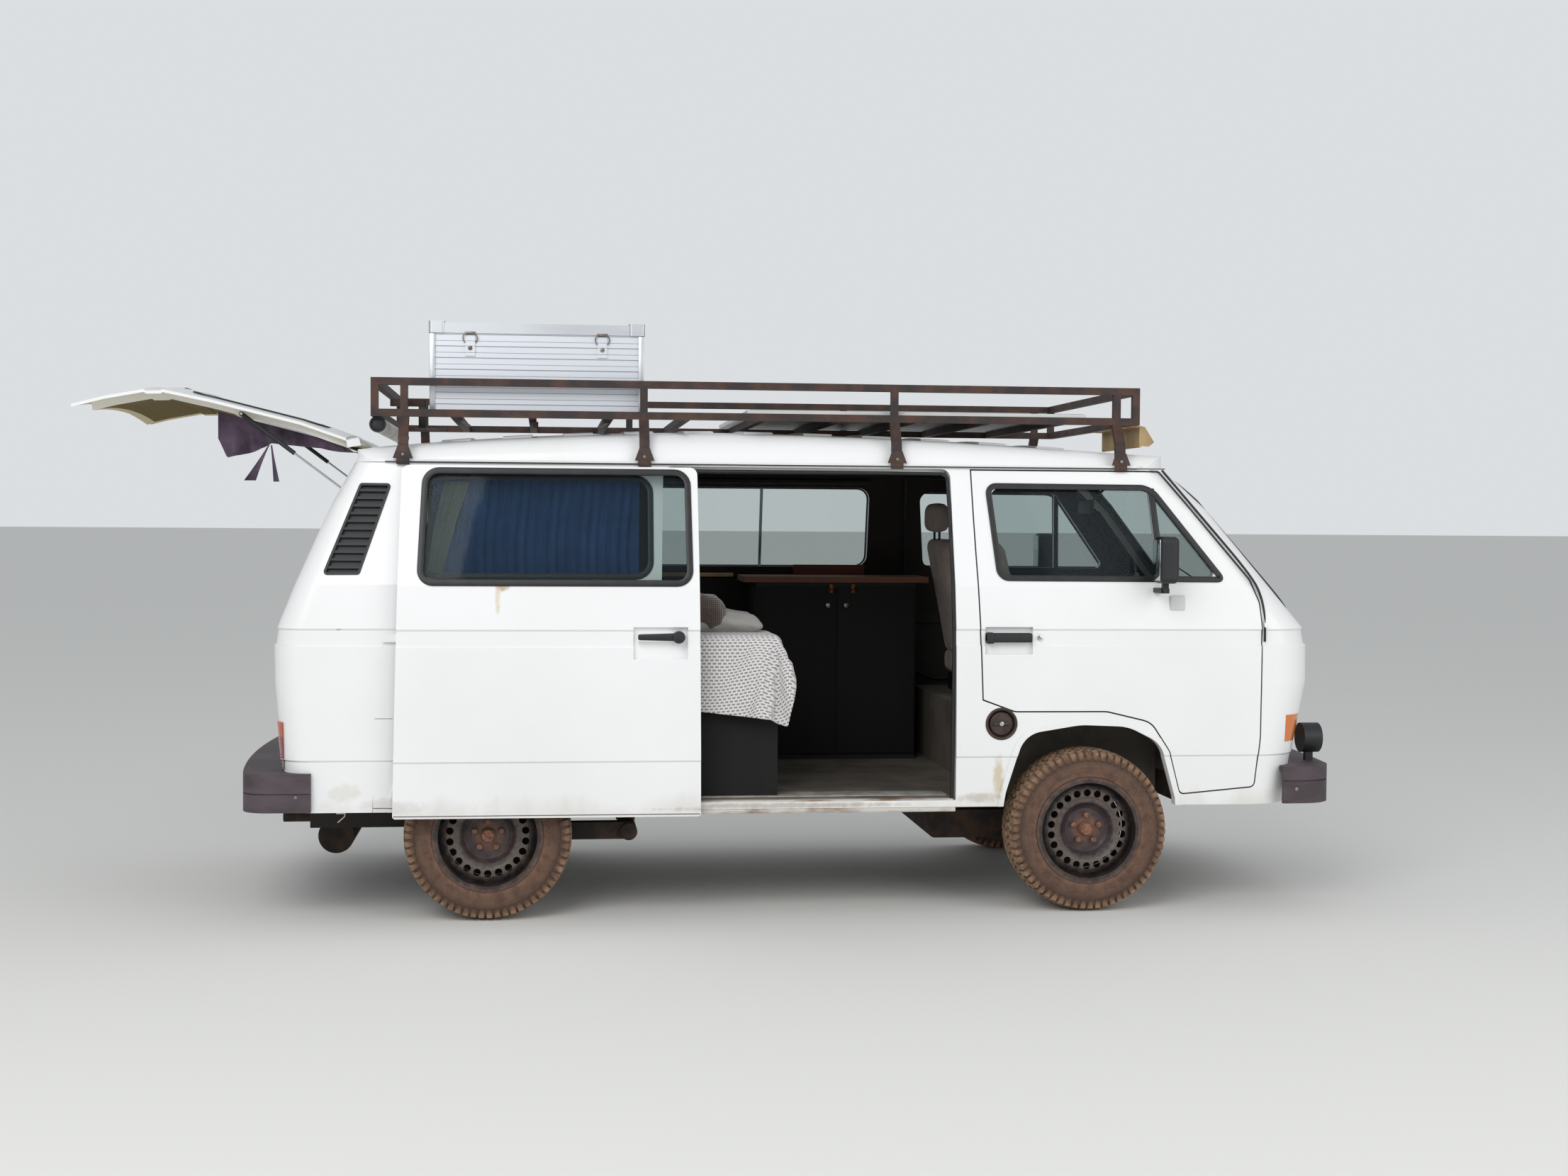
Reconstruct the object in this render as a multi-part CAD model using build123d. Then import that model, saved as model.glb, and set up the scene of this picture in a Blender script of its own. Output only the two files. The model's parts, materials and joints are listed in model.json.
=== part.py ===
from build123d import *
from functools import cache
from math import asin, atan2, cos, degrees, hypot, radians, sin
import os

# Camper van: box body with a hollow cab and living space, wheels at the four corners, engine at the
# rear, sliding door on the right side and a tailgate, both stored open, roof rack and roof case.
# Millimetres. While it is drawn, X runs forward from half way between the axles, Y to the left and
# Z up from the ground. The finished model is moved along X so that its box is centred on the origin.

# Wheels and axles
WHEELBASE = 2460
FRONT_AXLE = WHEELBASE / 2
REAR_AXLE = -WHEELBASE / 2
TYRE_RADIUS = 336.5
TYRE_WIDTH = 205
BEAD_RADIUS = 203.2
RIM_HALF_WIDTH = 94
RIM_LIP_RADIUS = 220
WHEEL_MIDDLE_Y = 792
DISC_HOLES = 22
DISC_HOLE_RADIUS = 15
DISC_HOLE_CIRCLE = 152
WHEEL_BOLTS = 5
WHEEL_BOLT_CIRCLE = 56
STUB_RADIUS = 25
KINGPIN_OFFSET = 92
KINGPIN_RADIUS = 11
ARM_INNER_Y = 360
RUNNING_CLEARANCE = 0.05

# Body shell
WALL = 45
SEAM = 4
FIT = 0.3
BODY_BOTTOM = 442
GUTTER_Z = 1832
FRONT_BOW = 6000
REAR_BOW = 7000
CREASE_Z = 651
GROOVE_BOTTOM = 1100
GROOVE_TOP = 1172
GROOVE_DEPTH = 8
BELT_HALF_WIDTH = 922

# Body levels: height, half width, rear end, front end, rear corner radius, front corner radius
BODY_LEVELS = [
    (BODY_BOTTOM, 899, -2070, 2150, 110, 190),
    (CREASE_Z - 7, 910, -2084, 2179, 110, 190),
    (CREASE_Z, 916, -2090, 2184, 110, 190),
    (690, 917, -2092, 2190, 110, 190),
    (950, 921, -2115, 2239, 110, 190),
    (GROOVE_BOTTOM, BELT_HALF_WIDTH, -2118, 2238, 110, 190),
    (GROOVE_BOTTOM + 8, BELT_HALF_WIDTH - GROOVE_DEPTH, -2110, 2229, 110, 190),
    (GROOVE_TOP - 8, BELT_HALF_WIDTH - GROOVE_DEPTH, -2102, 2218, 110, 190),
    (GROOVE_TOP, BELT_HALF_WIDTH - 1, -2106, 2222, 110, 190),
    (1345, 902, -2036, 2075, 105, 180),
    (1665, 826, -1893, 1812, 100, 165),
    (GUTTER_Z, 785, -1799, 1630, 95, 150),
]

# Roof
ROOF_HALF_WIDTH = 770
ROOF_WALL = 30
ROOF_SHOULDER = 112
ROOF_CROWN = 26
# Roof sections: place along X, height of the crown
ROOF_SECTIONS = [(-1900, 1893), (-1250, 1952), (-300, 1988), (700, 1963), (1750, 1902)]
# Roof ends, seen from the side: rear foot, rear shoulder, front shoulder, front foot
ROOF_REAR_FOOT = -1790
ROOF_REAR_SHOULDER = (-1640, 1924)
ROOF_FRONT_SHOULDER = (1440, 1930)
ROOF_FRONT_FOOT = 1622
ROOF_RIBS = [-1430, -1180, -930, -680, -430, -180, 70, 320, 570, 820, 1070]
ROOF_RIB_WIDTH = 120
ROOF_RIB_HEIGHT = 7
GUTTER_HEIGHT = 12

# Panel splits
NOSE_SPLIT_X = 1950
COWL_Z = 1216
REAR_SPLIT = [(-1682, 400), (-1657, 1322), (-1560, 1600), (-1560, 2000)]

# Front doors: outline seen from the side, x, z, corner radius
DOOR_OUTLINE = [
    (600, 1819, 8), (600, 889, 8), (760, 889, 30), (905, 836, 60), (1290, 835, 120), (1480, 790, 90),
    (1562, 666, 90), (1611, 490, 20), (1923, 518, 20), (1943, 723, 60), (1944, 1180, 60),
    (1934, 1282, 60), (1897, 1375, 60), (1538, 1819, 20),
]
DOOR_HINGE_X = 1946
DOOR_REAR_LOW = (774, 889)
DOOR_REAR_HIGH = (740, 1819)
DOOR_GAP = 6
DOOR_ANGLE = 68

# Windows: outline seen from the side, x, z, corner radius
DOOR_WINDOW = [
    (812, 1750, 45), (848, 1385, 40), (1768, 1382, 22), (1490, 1748, 30),
]
QUARTER_LIGHT_LOW = (1525, 1369)
QUARTER_LIGHT_HIGH = (1498, 1761)
SIDE_WINDOW_LOW = 1385
SIDE_WINDOW_HIGH = 1768
SIDE_WINDOW_CORNER = 55
# Fixed side windows: name, rear end, front end, side (1 is left)
SIDE_WINDOWS = [
    ("left_middle", -500, 565, 1), ("left_rear", -1490, -590, 1), ("right_rear", -1490, -590, -1),
]
GLASS = 5
GLASS_DEPTH = 14
WINDSCREEN_LOW = (1250, 765)
WINDSCREEN_HIGH = (1790, 655)
WINDSCREEN_CORNER = 90

# Sliding door on the right side: outline when shut, x, z, corner radius
SLIDING_OUTLINE = [(-555, 425, 12), (660, 425, 12), (645, 1818, 30), (-525, 1818, 30)]
SLIDING_GAP = 6
SLIDING_TRAVEL = 1044
SLIDING_OUT = 75
SILL_TOP = 470
SLIDING_WINDOW = [(-442, 1362), (606, 1362), (598, 1790), (-425, 1790)]
SLIDING_HANDLE = (495, 1143)
SLIDING_RAIL_Z = 1811
RAIL_HEIGHT = 34
RAIL_DEPTH = 14

# Wheel arches: outline seen from the side, x from the axle, z, corner radius
ARCH_OUTLINE = [
    (-375, 380, 10), (-358, 500, 120), (-285, 740, 110), (-50, 778, 300), (150, 770, 200),
    (290, 700, 120), (357, 473, 60), (365, 380, 10),
]

# Tailgate: outline seen from behind, half width, z
GATE_OUTLINE = [(768, 818), (768, 1180), (650, 1840), (622, 2050)]
GATE_HINGE = (-1730, 1904)
GATE_OPEN = 80.3
GATE_GAP = 6
GATE_SKIN = 12
GATE_FRAME = [(612, 864), (612, 1760), (596, 1832)]
GATE_WINDOW = [(600, 1270), (500, 1730)]
GATE_WINDOW_CORNER = 80
GATE_CLOTH_X = (-2300, -2080)
GATE_CLOTH_LOW = 1850
GATE_CLOTH_THICK = 44

# Gas struts of the tailgate, in the shut position
STRUT_BODY_PIN = (-1806, 1712)
STRUT_GATE_PIN = (-1930, 1440)
STRUT_Y = 640
STRUT_RADIUS = 9
ROD_RADIUS = 4.5
STRUT_PIN_RADIUS = 5
STRUT_CYLINDER = 262

# Ends of the body
BUMPER_LOW = 447
BUMPER_HIGH = 600
BUMPER_FRONT = 2330
BUMPER_REAR = -2240
BUMPER_FRONT_WRAP = 2045
BUMPER_REAR_WRAP = -1918
BUMPER_HALF = 930
BUMPER_WALL = 22
BUMPER_GROOVE_FRONT = 538
BUMPER_GROOVE_REAR = 518
GRILLE_LOW = 945
GRILLE_HIGH = 1096
GRILLE_HALF = 800
LOWER_GRILLE_LOW = 655
LOWER_GRILLE_HIGH = 800
LOWER_GRILLE_HALF = 560
HEADLAMP_Y = 640
HEADLAMP_Z = 1020
HEADLAMP_RADIUS = 72
INDICATOR_LOW = 700
INDICATOR_HIGH = 813
INDICATOR_INNER_Y = 600
INDICATOR_REAR_X = 2061
TAIL_LAMP_LOW = 612
TAIL_LAMP_HIGH = 800
TAIL_LAMP_INNER_Y = 715
TAIL_LAMP_FRONT_X = -2030
SPOT_PLACE = (2240, -690, 697)
SPOT_RADIUS = 63
FILLER = (849, 784)
FILLER_RADIUS = 64
VENT_OUTLINE = [(-1737, 1747), (-1612, 1746), (-1732, 1383), (-1877, 1382)]
VENT_SLATS = 11

# Floors and frame below
FLOOR_TOP = 482
FLOOR_THICK = 28
CAB_STEP_X = 822
SEAT_BOX_TOP = 800
FOOTWELL_X = 1640
FOOTWELL_Z = 565
SHEET = 15
ARCH_INNER_Y = 520
ARCH_LIP = 24
STEERED_ARCH_INNER_Y = 490
ENGINE_DECK_TOP = 905
ENGINE_WALL_X = -1120
CHASSIS_RAIL_Y = 320
CHASSIS_RAIL = 80
CHASSIS_RAIL_Z = 364
CHASSIS_RAIL_FRONT = 1330

# Steering wheel
STEERING_WHEEL = (1650, 410, 1245)
COLUMN_LEAN = 38
COLUMN_RADIUS = 12

# Rack on the roof
RACK_TUBE = 30
RACK_Y = 722
RACK_REAR = -1702
RACK_FRONT = 1468
RACK_TOP_Z = 2157
RACK_LOW_Z = 2031
RACK_POSTS = [-1570, -607, 428, 1371]
RACK_BARS = 11
RACK_LEG_X = 40
RACK_KNEE_Z = 1932
PANEL_ENDS = (-179, 1250)
DEFLECTOR_LOW = 1926

# Case on the rack
CASE_REAR = -1466
CASE_FRONT = -612
CASE_NEAR_Y = -655
CASE_FAR_Y = -125
CASE_RIM_Z = 2360
CASE_TOP_Z = 2402
CASE_WALL = 6
CASE_LID_PROUD = 7
CASE_RIB_PITCH = 47
CASE_RIBS = 6
CASE_LATCHES = [-1310, -775]
CASE_LID_ANGLE = 95

# Curtain rods inside the body: rear end, front end, side (1 is left)
CURTAIN_ROD_Z = 1796
CURTAIN_RODS = [(-1510, -580, -1), (-1510, 560, 1)]


def plan_outline(z, half, rear, front, rear_corner, front_corner):
    """Closed outline of the body at height z: two straight sides, round corners and bowed ends."""

    def end(apex, corner, bow, way):
        chord = (half - corner) / (1 - corner / bow)
        tilt = asin(chord / bow)
        bow_x = apex - way * bow * (1 - cos(tilt))
        side_x = bow_x - way * corner * cos(tilt)
        middle = (radians(90) + tilt) / 2
        corner_x = side_x + way * corner * cos(middle)
        corner_y = half - corner + corner * sin(middle)
        return side_x, corner_x, corner_y, bow_x, chord

    fs, fx, fy, fb, fc = end(front, front_corner, FRONT_BOW, 1)
    rs, rx, ry, rb, rc = end(rear, rear_corner, REAR_BOW, -1)
    return Wire([
        Edge.make_line((rs, -half, z), (fs, -half, z)),
        Edge.make_three_point_arc((fs, -half, z), (fx, -fy, z), (fb, -fc, z)),
        Edge.make_three_point_arc((fb, -fc, z), (front, 0, z), (fb, fc, z)),
        Edge.make_three_point_arc((fb, fc, z), (fx, fy, z), (fs, half, z)),
        Edge.make_line((fs, half, z), (rs, half, z)),
        Edge.make_three_point_arc((rs, half, z), (rx, ry, z), (rb, rc, z)),
        Edge.make_three_point_arc((rb, rc, z), (rear, 0, z), (rb, -rc, z)),
        Edge.make_three_point_arc((rb, -rc, z), (rx, -ry, z), (rs, -half, z)),
    ])


@cache
def body_solid(inset):
    """The body's whole form below the gutter, drawn in by inset all round."""
    levels = []
    for z, half, rear, front, rear_corner, front_corner in BODY_LEVELS:
        corners = (max(rear_corner - inset, 30), max(front_corner - inset, 30))
        levels.append(plan_outline(z, half - inset, rear + inset, front - inset, *corners))
    return Solid.make_loft(levels, ruled=True)


def half_width_at(z):
    """Half width of the body's outer face at height z."""
    for low, high in zip(BODY_LEVELS, BODY_LEVELS[1:]):
        if low[0] <= z <= high[0]:
            return low[1] + (high[1] - low[1]) * (z - low[0]) / (high[0] - low[0])
    return BODY_LEVELS[-1][1]


def front_end_at(z):
    """Front end of the body's outer face at height z, on the middle line."""
    for low, high in zip(BODY_LEVELS, BODY_LEVELS[1:]):
        if low[0] <= z <= high[0]:
            return low[3] + (high[3] - low[3]) * (z - low[0]) / (high[0] - low[0])
    return BODY_LEVELS[-1][3]


def block(x, y, z):
    """Box between the pairs of limits x, y and z."""
    size = (x[1] - x[0], y[1] - y[0], z[1] - z[0])
    middle = Pos((x[0] + x[1]) / 2, (y[0] + y[1]) / 2, (z[0] + z[1]) / 2)
    return middle * Box(*size)


def rounded_outline(rows):
    """Flat closed outline from rows of x, z, corner radius."""
    points = [(row[0], row[1]) for row in rows]
    return make_face(FilletPolyline(*points, radius=[row[2] for row in rows], close=True))


def side_prism(outline, y_low, y_high):
    """Outline drawn in X and Z, given depth from y_low to y_high."""
    return extrude(Plane.XZ.offset(-y_low) * outline, amount=-(y_high - y_low))


def end_prism(points, x_low, x_high, corner=0):
    """Outline of points y, z, given depth from x_low to x_high."""
    face = make_face(Polyline(*points, close=True))
    if corner:
        face = fillet(face.vertices(), corner)
    return extrude(Plane.YZ.offset(x_low) * face, amount=x_high - x_low)


def mirrored(shape):
    """The same shape on the other side of the van."""
    return mirror(shape, about=Plane.XZ)


def on_both_sides(shape):
    """The shape and its mirror image, as separate solids of one piece."""
    return Compound(children=[*shape.solids(), *mirrored(shape).solids()])


@cache
def roof_solid(inset):
    """The roof's whole form above the gutter, drawn in by inset."""
    sections = []
    half = ROOF_HALF_WIDTH - inset
    for x, crown in ROOF_SECTIONS:
        top = crown - inset
        knee_y = half - ROOF_SHOULDER
        knee_z = top - ROOF_CROWN
        lift = knee_z - GUTTER_Z
        bend = (half - ROOF_SHOULDER * (1 - cos(radians(45))), GUTTER_Z + lift * sin(radians(45)))
        sections.append(Wire([
            Edge.make_line((x, -half, GUTTER_Z), (x, half, GUTTER_Z)),
            Edge.make_three_point_arc((x, half, GUTTER_Z), (x, *bend), (x, knee_y, knee_z)),
            Edge.make_three_point_arc((x, knee_y, knee_z), (x, 0, top), (x, -knee_y, knee_z)),
            Edge.make_three_point_arc((x, -knee_y, knee_z), (x, -bend[0], bend[1]), (x, -half, GUTTER_Z)),
        ]))
    hull = Solid.make_loft(sections, ruled=False)
    rear_foot = ROOF_REAR_FOOT + inset
    front_foot = ROOF_FRONT_FOOT - inset
    rear = (ROOF_REAR_SHOULDER[0] + inset / 3, ROOF_REAR_SHOULDER[1] - inset)
    front = (ROOF_FRONT_SHOULDER[0] - inset / 3, ROOF_FRONT_SHOULDER[1] - inset)
    bulge = sin(radians(45))
    low = GUTTER_Z - 20
    high = 2200
    ends = []
    for foot, shoulder, way in ((front_foot + 8, front, 1), (rear_foot - 8, rear, -1)):
        bend = (shoulder[0] + (foot - shoulder[0]) * bulge, low + (shoulder[1] - low) * bulge)
        far = foot - way * 1200
        ends.append(Wire([
            Edge.make_line((far, 0, low), (foot, 0, low)),
            Edge.make_three_point_arc((foot, 0, low), (bend[0], 0, bend[1]), (shoulder[0], 0, shoulder[1])),
            Edge.make_line((shoulder[0], 0, shoulder[1]), (shoulder[0] - way * 60, 0, high)),
            Edge.make_line((shoulder[0] - way * 60, 0, high), (far, 0, high)),
            Edge.make_line((far, 0, high), (far, 0, low)),
        ]))
    middle = block((rear_foot + 1100, front_foot - 1100), (-900, 900), (low, high))
    limits = middle
    for end in ends:
        limits = limits + extrude(Face(end), amount=900, both=True)
    top_row = BODY_LEVELS[-1]
    plan = plan_outline(low, half + 6, rear_foot, front_foot, top_row[4], top_row[5])
    form = hull & Solid.extrude(Face(plan), Vector(0, 0, high - low))
    return lone(form & limits)


@cache
def body_layer(outside, inside):
    """The layer between two insets of the body's form."""
    return body_solid(outside) - body_solid(inside)


def lone(shape):
    """The one solid that a cut leaves, without the compound round it."""
    solids = shape.solids()
    return max(solids, key=lambda solid: solid.volume) if len(solids) > 1 else solids[0]


BODY_OUTER = body_solid(0)
BODY_SHELL = body_layer(0, WALL)
CABIN = body_solid(WALL + FIT)
ROOF_SHELL = roof_solid(0) - roof_solid(ROOF_WALL)
GLASS_SHELL = body_layer(GLASS_DEPTH, GLASS_DEPTH + GLASS)


def window_prism(rows, side, grow=0):
    """Cutter for a window whose outline is rows of x, z, corner radius."""
    outline = rounded_outline(rows)
    if grow:
        outline = offset(outline, amount=grow)
    return side_prism(outline, *sorted((side * 600, side * 1000)))


def side_window_rows(rear, front):
    """Outline rows of a fixed side window between two places along X."""
    low, high, corner = SIDE_WINDOW_LOW, SIDE_WINDOW_HIGH, SIDE_WINDOW_CORNER
    return [(rear, low, corner), (front, low, corner), (front, high, corner), (rear, high, corner)]


def sliding_window_rows():
    """Outline rows of the sliding door's window."""
    return [(x, z, 45) for x, z in SLIDING_WINDOW]


@cache
def door_tool(side, gap):
    """Space of a front door, wider by gap, with its rear edge turned about the hinge."""
    outline = rounded_outline(DOOR_OUTLINE)
    if gap:
        outline = offset(outline, amount=gap, kind=Kind.INTERSECTION)
    prism = side_prism(outline, *sorted((side * 600, side * 1000)))
    hinge_y = half_width_at(1000)
    reach = []
    for x, z in (DOOR_REAR_LOW, DOOR_REAR_HIGH):
        reach.append((hypot(DOOR_HINGE_X - x, hinge_y - half_width_at(z)) + gap, z))
    slope = (reach[1][0] - reach[0][0]) / (reach[1][1] - reach[0][1])
    low, high = 300, 1900
    radius_low = reach[0][0] + slope * (low - reach[0][1])
    radius_high = reach[0][0] + slope * (high - reach[0][1])
    cone = Cone(radius_low, radius_high, high - low, align=(Align.CENTER, Align.CENTER, Align.MIN))
    return prism & (Pos(DOOR_HINGE_X, side * hinge_y, low) * cone)


def arch_tool(axle, side):
    """Space cut from the body side round a wheel."""
    rows = [(axle + x, z, radius) for x, z, radius in ARCH_OUTLINE]
    return side_prism(rounded_outline(rows), *sorted((side * 600, side * 1000)))


@cache
def sliding_tool(gap, low):
    """Space of the sliding door when shut, from height low up."""
    outline = rounded_outline(SLIDING_OUTLINE)
    if gap:
        outline = offset(outline, amount=gap, kind=Kind.INTERSECTION)
    prism = side_prism(outline, -1000, -600)
    return prism & block((-2500, 2500), (-1100, 0), (low, GUTTER_Z))


@cache
def gate_tool(grow):
    """Space of the tailgate when shut, wider by grow."""
    right = [(-(half + grow), z) for half, z in GATE_OUTLINE]
    left = [(half + grow, z) for half, z in reversed(GATE_OUTLINE)]
    right[0] = (right[0][0], GATE_OUTLINE[0][1] - grow)
    left[-1] = (left[-1][0], GATE_OUTLINE[0][1] - grow)
    return end_prism(right + left, -2400, GATE_HINGE[0] + grow)


def rear_tool():
    """Space of the rear panel and the rear corners."""
    points = [(-2400, 400), *REAR_SPLIT, (-2400, 2000)]
    return side_prism(make_face(Polyline(*points, close=True)), -1000, 1000)


def nose_tool():
    """Space of the panel below the windscreen."""
    return block((NOSE_SPLIT_X, 2400), (-1000, 1000), (400, COWL_Z))


def windscreen_tool(grow=0):
    """Space of the windscreen, seen from the front."""
    (low, low_half), (high, high_half) = WINDSCREEN_LOW, WINDSCREEN_HIGH
    points = [(-low_half - grow, low - grow), (low_half + grow, low - grow),
              (high_half + grow, high + grow), (-high_half - grow, high + grow)]
    return end_prism(points, 1300, 2400, WINDSCREEN_CORNER)


def vent_tool(side, shrink=0):
    """Space of an air vent in a rear corner."""
    face = make_face(Polyline(*VENT_OUTLINE, close=True))
    face = fillet(face.vertices(), 14)
    if shrink:
        face = offset(face, amount=-shrink)
    return side_prism(face, *sorted((side * 500, side * 1000)))


def side_panel(side):
    """Body side from the nose to the rear seam, with its door openings, arches and windows."""
    half_space = block((-2400, NOSE_SPLIT_X + 600), sorted((0, side * 1000)), (400, 1900))
    panel = BODY_SHELL & half_space
    panel = panel - nose_tool() - rear_tool() - windscreen_tool()
    header = block((1300, 2400), (-600, 600), (1700, 1900))
    panel = panel - header - door_tool(side, DOOR_GAP)
    for axle in (FRONT_AXLE, REAR_AXLE):
        panel = panel - arch_tool(axle, side)
    for _, rear, front, window_side in SIDE_WINDOWS:
        if window_side == side:
            panel = panel - window_prism(side_window_rows(rear, front), side)
    if side < 0:
        panel = panel - sliding_tool(SLIDING_GAP, SILL_TOP)
        filler_y = -half_width_at(FILLER[1])
        recess = Pos(FILLER[0], filler_y, FILLER[1]) * Rot(90, 0, 0) * Cylinder(FILLER_RADIUS, 60)
        cap = Pos(FILLER[0], filler_y + 22, FILLER[1]) * Rot(90, 0, 0) * Cylinder(FILLER_RADIUS - 20, 28)
        panel = panel - recess + cap
        rail_z = (GROOVE_BOTTOM + GROOVE_TOP) / 2
        rail_y = BELT_HALF_WIDTH - GROOVE_DEPTH
        rail = block((-1640, -560), (-rail_y - RAIL_DEPTH, -rail_y + 4),
                     (rail_z - RAIL_HEIGHT / 2, rail_z + RAIL_HEIGHT / 2))
        panel = panel + rail
    for rear, front, rod_side in CURTAIN_RODS:
        if rod_side == side:
            wall_y = half_width_at(CURTAIN_ROD_Z) - WALL + 2
            panel = panel + block((rear, front), sorted((side * (wall_y - 40), side * wall_y)),
                                  (CURTAIN_ROD_Z - 8, CURTAIN_ROD_Z + 8))
    for axle in (REAR_AXLE, FRONT_AXLE):
        hole = rounded_outline([(axle + x, z, radius) for x, z, radius in ARCH_OUTLINE])
        band = side_prism(offset(hole, amount=ARCH_LIP) - hole, *sorted((side * 600, side * 1000)))
        lip = body_layer(-5, 0) & (band & block((-2400, 2400), (-1000, 1000), (BODY_BOTTOM, 1000)))
        panel = panel + (lip - door_tool(side, DOOR_GAP))
    rain = offset(rounded_outline(DOOR_OUTLINE), amount=20, kind=Kind.INTERSECTION) - offset(
        rounded_outline(DOOR_OUTLINE), amount=9, kind=Kind.INTERSECTION)
    strip = side_prism(rain, *sorted((side * 600, side * 1000)))
    strip = body_layer(-9, 0) & (strip & block((1500, 2400), (-1000, 1000), (1180, GUTTER_Z)))
    return lone(panel + strip)


def roof_panel():
    """Roof with its header over the windscreen and a gutter along each side."""
    header = BODY_SHELL & block((1300, 2400), (-600, 600), (1700, GUTTER_Z))
    header = header - windscreen_tool()
    rail = block((-530, 640), (-732, -724), (SLIDING_RAIL_Z, 1884))
    roof = ROOF_SHELL + header + rail
    top_row = BODY_LEVELS[-1]
    outer = plan_outline(GUTTER_Z, top_row[1] + 6, ROOF_REAR_FOOT - 6, ROOF_FRONT_FOOT - 90, 95, 60)
    inner = plan_outline(GUTTER_Z, ROOF_HALF_WIDTH - 8, ROOF_REAR_FOOT + 60, ROOF_FRONT_FOOT, 95, 60)
    ring = Solid.extrude(Face(outer), Vector(0, 0, GUTTER_HEIGHT))
    ring = ring - Solid.extrude(Face(inner), Vector(0, 0, GUTTER_HEIGHT))
    ring = ring & block((-1780, 1525), (-900, 900), (GUTTER_Z, GUTTER_Z + GUTTER_HEIGHT))
    roof = roof + ring - gate_tool(GATE_GAP)
    ribs = [block((x, x + ROOF_RIB_WIDTH), (-560, 560), (1880, 2080)) for x in ROOF_RIBS]
    layer = roof_solid(-ROOF_RIB_HEIGHT) - roof_solid(0)
    return lone(roof + (layer & Compound(children=ribs)))


def rear_panel():
    """Rear corners with their vent openings, and the panel below the tailgate."""
    panel = BODY_SHELL & rear_tool()
    panel = panel - gate_tool(GATE_GAP)
    for side in (-1, 1):
        panel = panel - vent_tool(side) - lamp_tool(side, FIT)
    return lone(panel + pins(STRUT_BODY_PIN, STRUT_Y - STRUT_RADIUS, 690))


def lamp_tool(side, grow):
    """Space of a tail lamp in a rear corner."""
    return block((-2400, TAIL_LAMP_FRONT_X + grow), sorted((side * (TAIL_LAMP_INNER_Y - grow), side * 1000)),
                 (TAIL_LAMP_LOW - grow, TAIL_LAMP_HIGH + grow))


def indicator_tool(side, grow):
    """Space of a front indicator that wraps round the corner."""
    return block((INDICATOR_REAR_X - grow, 2400),
                 sorted((side * (INDICATOR_INNER_Y - grow), side * 1000)),
                 (INDICATOR_LOW - grow, INDICATOR_HIGH + grow))


def nose_panel():
    """Front panel with the openings for both grilles and the indicators."""
    panel = BODY_SHELL & nose_tool()
    panel = panel - block((2000, 2400), (-GRILLE_HALF - FIT, GRILLE_HALF + FIT),
                          (GRILLE_LOW - FIT, GRILLE_HIGH + FIT))
    panel = panel - block((2000, 2400), (-LOWER_GRILLE_HALF, LOWER_GRILLE_HALF),
                          (LOWER_GRILLE_LOW, LOWER_GRILLE_HIGH))
    for side in (-1, 1):
        panel = panel - indicator_tool(side, FIT)
        panel = panel - door_tool(side, DOOR_GAP)
    return lone(panel)


def grille():
    """Upper grille round the headlamps and the lower one in front of the radiator."""
    layer = body_layer(0, 26)
    upper = layer & block((2000, 2400), (-GRILLE_HALF, GRILLE_HALF), (GRILLE_LOW, GRILLE_HIGH))
    for side in (-1, 1):
        upper = upper - Pos(2200, side * HEADLAMP_Y, HEADLAMP_Z) * Rot(0, 90, 0) * Cylinder(
            HEADLAMP_RADIUS + FIT, 400)
    slot = 14
    for row in range(4):
        low = GRILLE_LOW + 20 + row * 32
        upper = upper - block((2000, 2400), (-530, 530), (low, low + slot))
    lower = layer & block((2000, 2400), (-LOWER_GRILLE_HALF + FIT, LOWER_GRILLE_HALF - FIT),
                          (LOWER_GRILLE_LOW + FIT, LOWER_GRILLE_HIGH - FIT))
    for row in range(4):
        low = LOWER_GRILLE_LOW + 16 + row * 32
        lower = lower - block((2000, 2400), (-530, 530), (low, low + slot))
    return Compound(children=[*upper.solids(), *lower.solids()])


def headlamps():
    """Two round headlamps with domed lenses."""
    lamp_x = front_end_at(HEADLAMP_Z) - (FRONT_BOW - (FRONT_BOW ** 2 - HEADLAMP_Y ** 2) ** 0.5)
    drum = Cylinder(HEADLAMP_RADIUS, 60, align=(Align.CENTER, Align.CENTER, Align.MAX))
    dome = Sphere(170) & Pos(0, 0, 160) * Cylinder(HEADLAMP_RADIUS, 40)
    dome = Pos(0, 0, -154) * dome
    lamp = Pos(lamp_x - 14, -HEADLAMP_Y, HEADLAMP_Z) * Rot(0, 90, 0) * (drum + dome)
    return on_both_sides(lamp)


def front_indicators():
    """Indicators that wrap the front corners."""
    lamp = body_layer(0, WALL - 5) & indicator_tool(-1, 0)
    return on_both_sides(lamp)


def tail_lamps():
    """Upright lamps in the rear corners, below the tailgate."""
    lamp = body_layer(-6, WALL - 5) & lamp_tool(-1, 0)
    return on_both_sides(lamp)


def air_vents():
    """Louvres in the rear corners: a frame with slats that lean down."""
    frame = body_layer(-4, 24) & vent_tool(-1, FIT)
    hollow = vent_tool(-1, 10) & body_solid(-20)
    vent = frame - hollow
    low = VENT_OUTLINE[2][1] + 14
    pitch = (VENT_OUTLINE[0][1] - 14 - low) / VENT_SLATS
    layer = body_layer(0, 20) & vent_tool(-1, 6)
    slats = [block((-2000, -1500), (-1000, -500), (z - 5, z + 5)) for z in
             [low + pitch * (slat + 0.5) for slat in range(VENT_SLATS)]]
    return on_both_sides(lone(vent + (layer & Compound(children=slats))))


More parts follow.
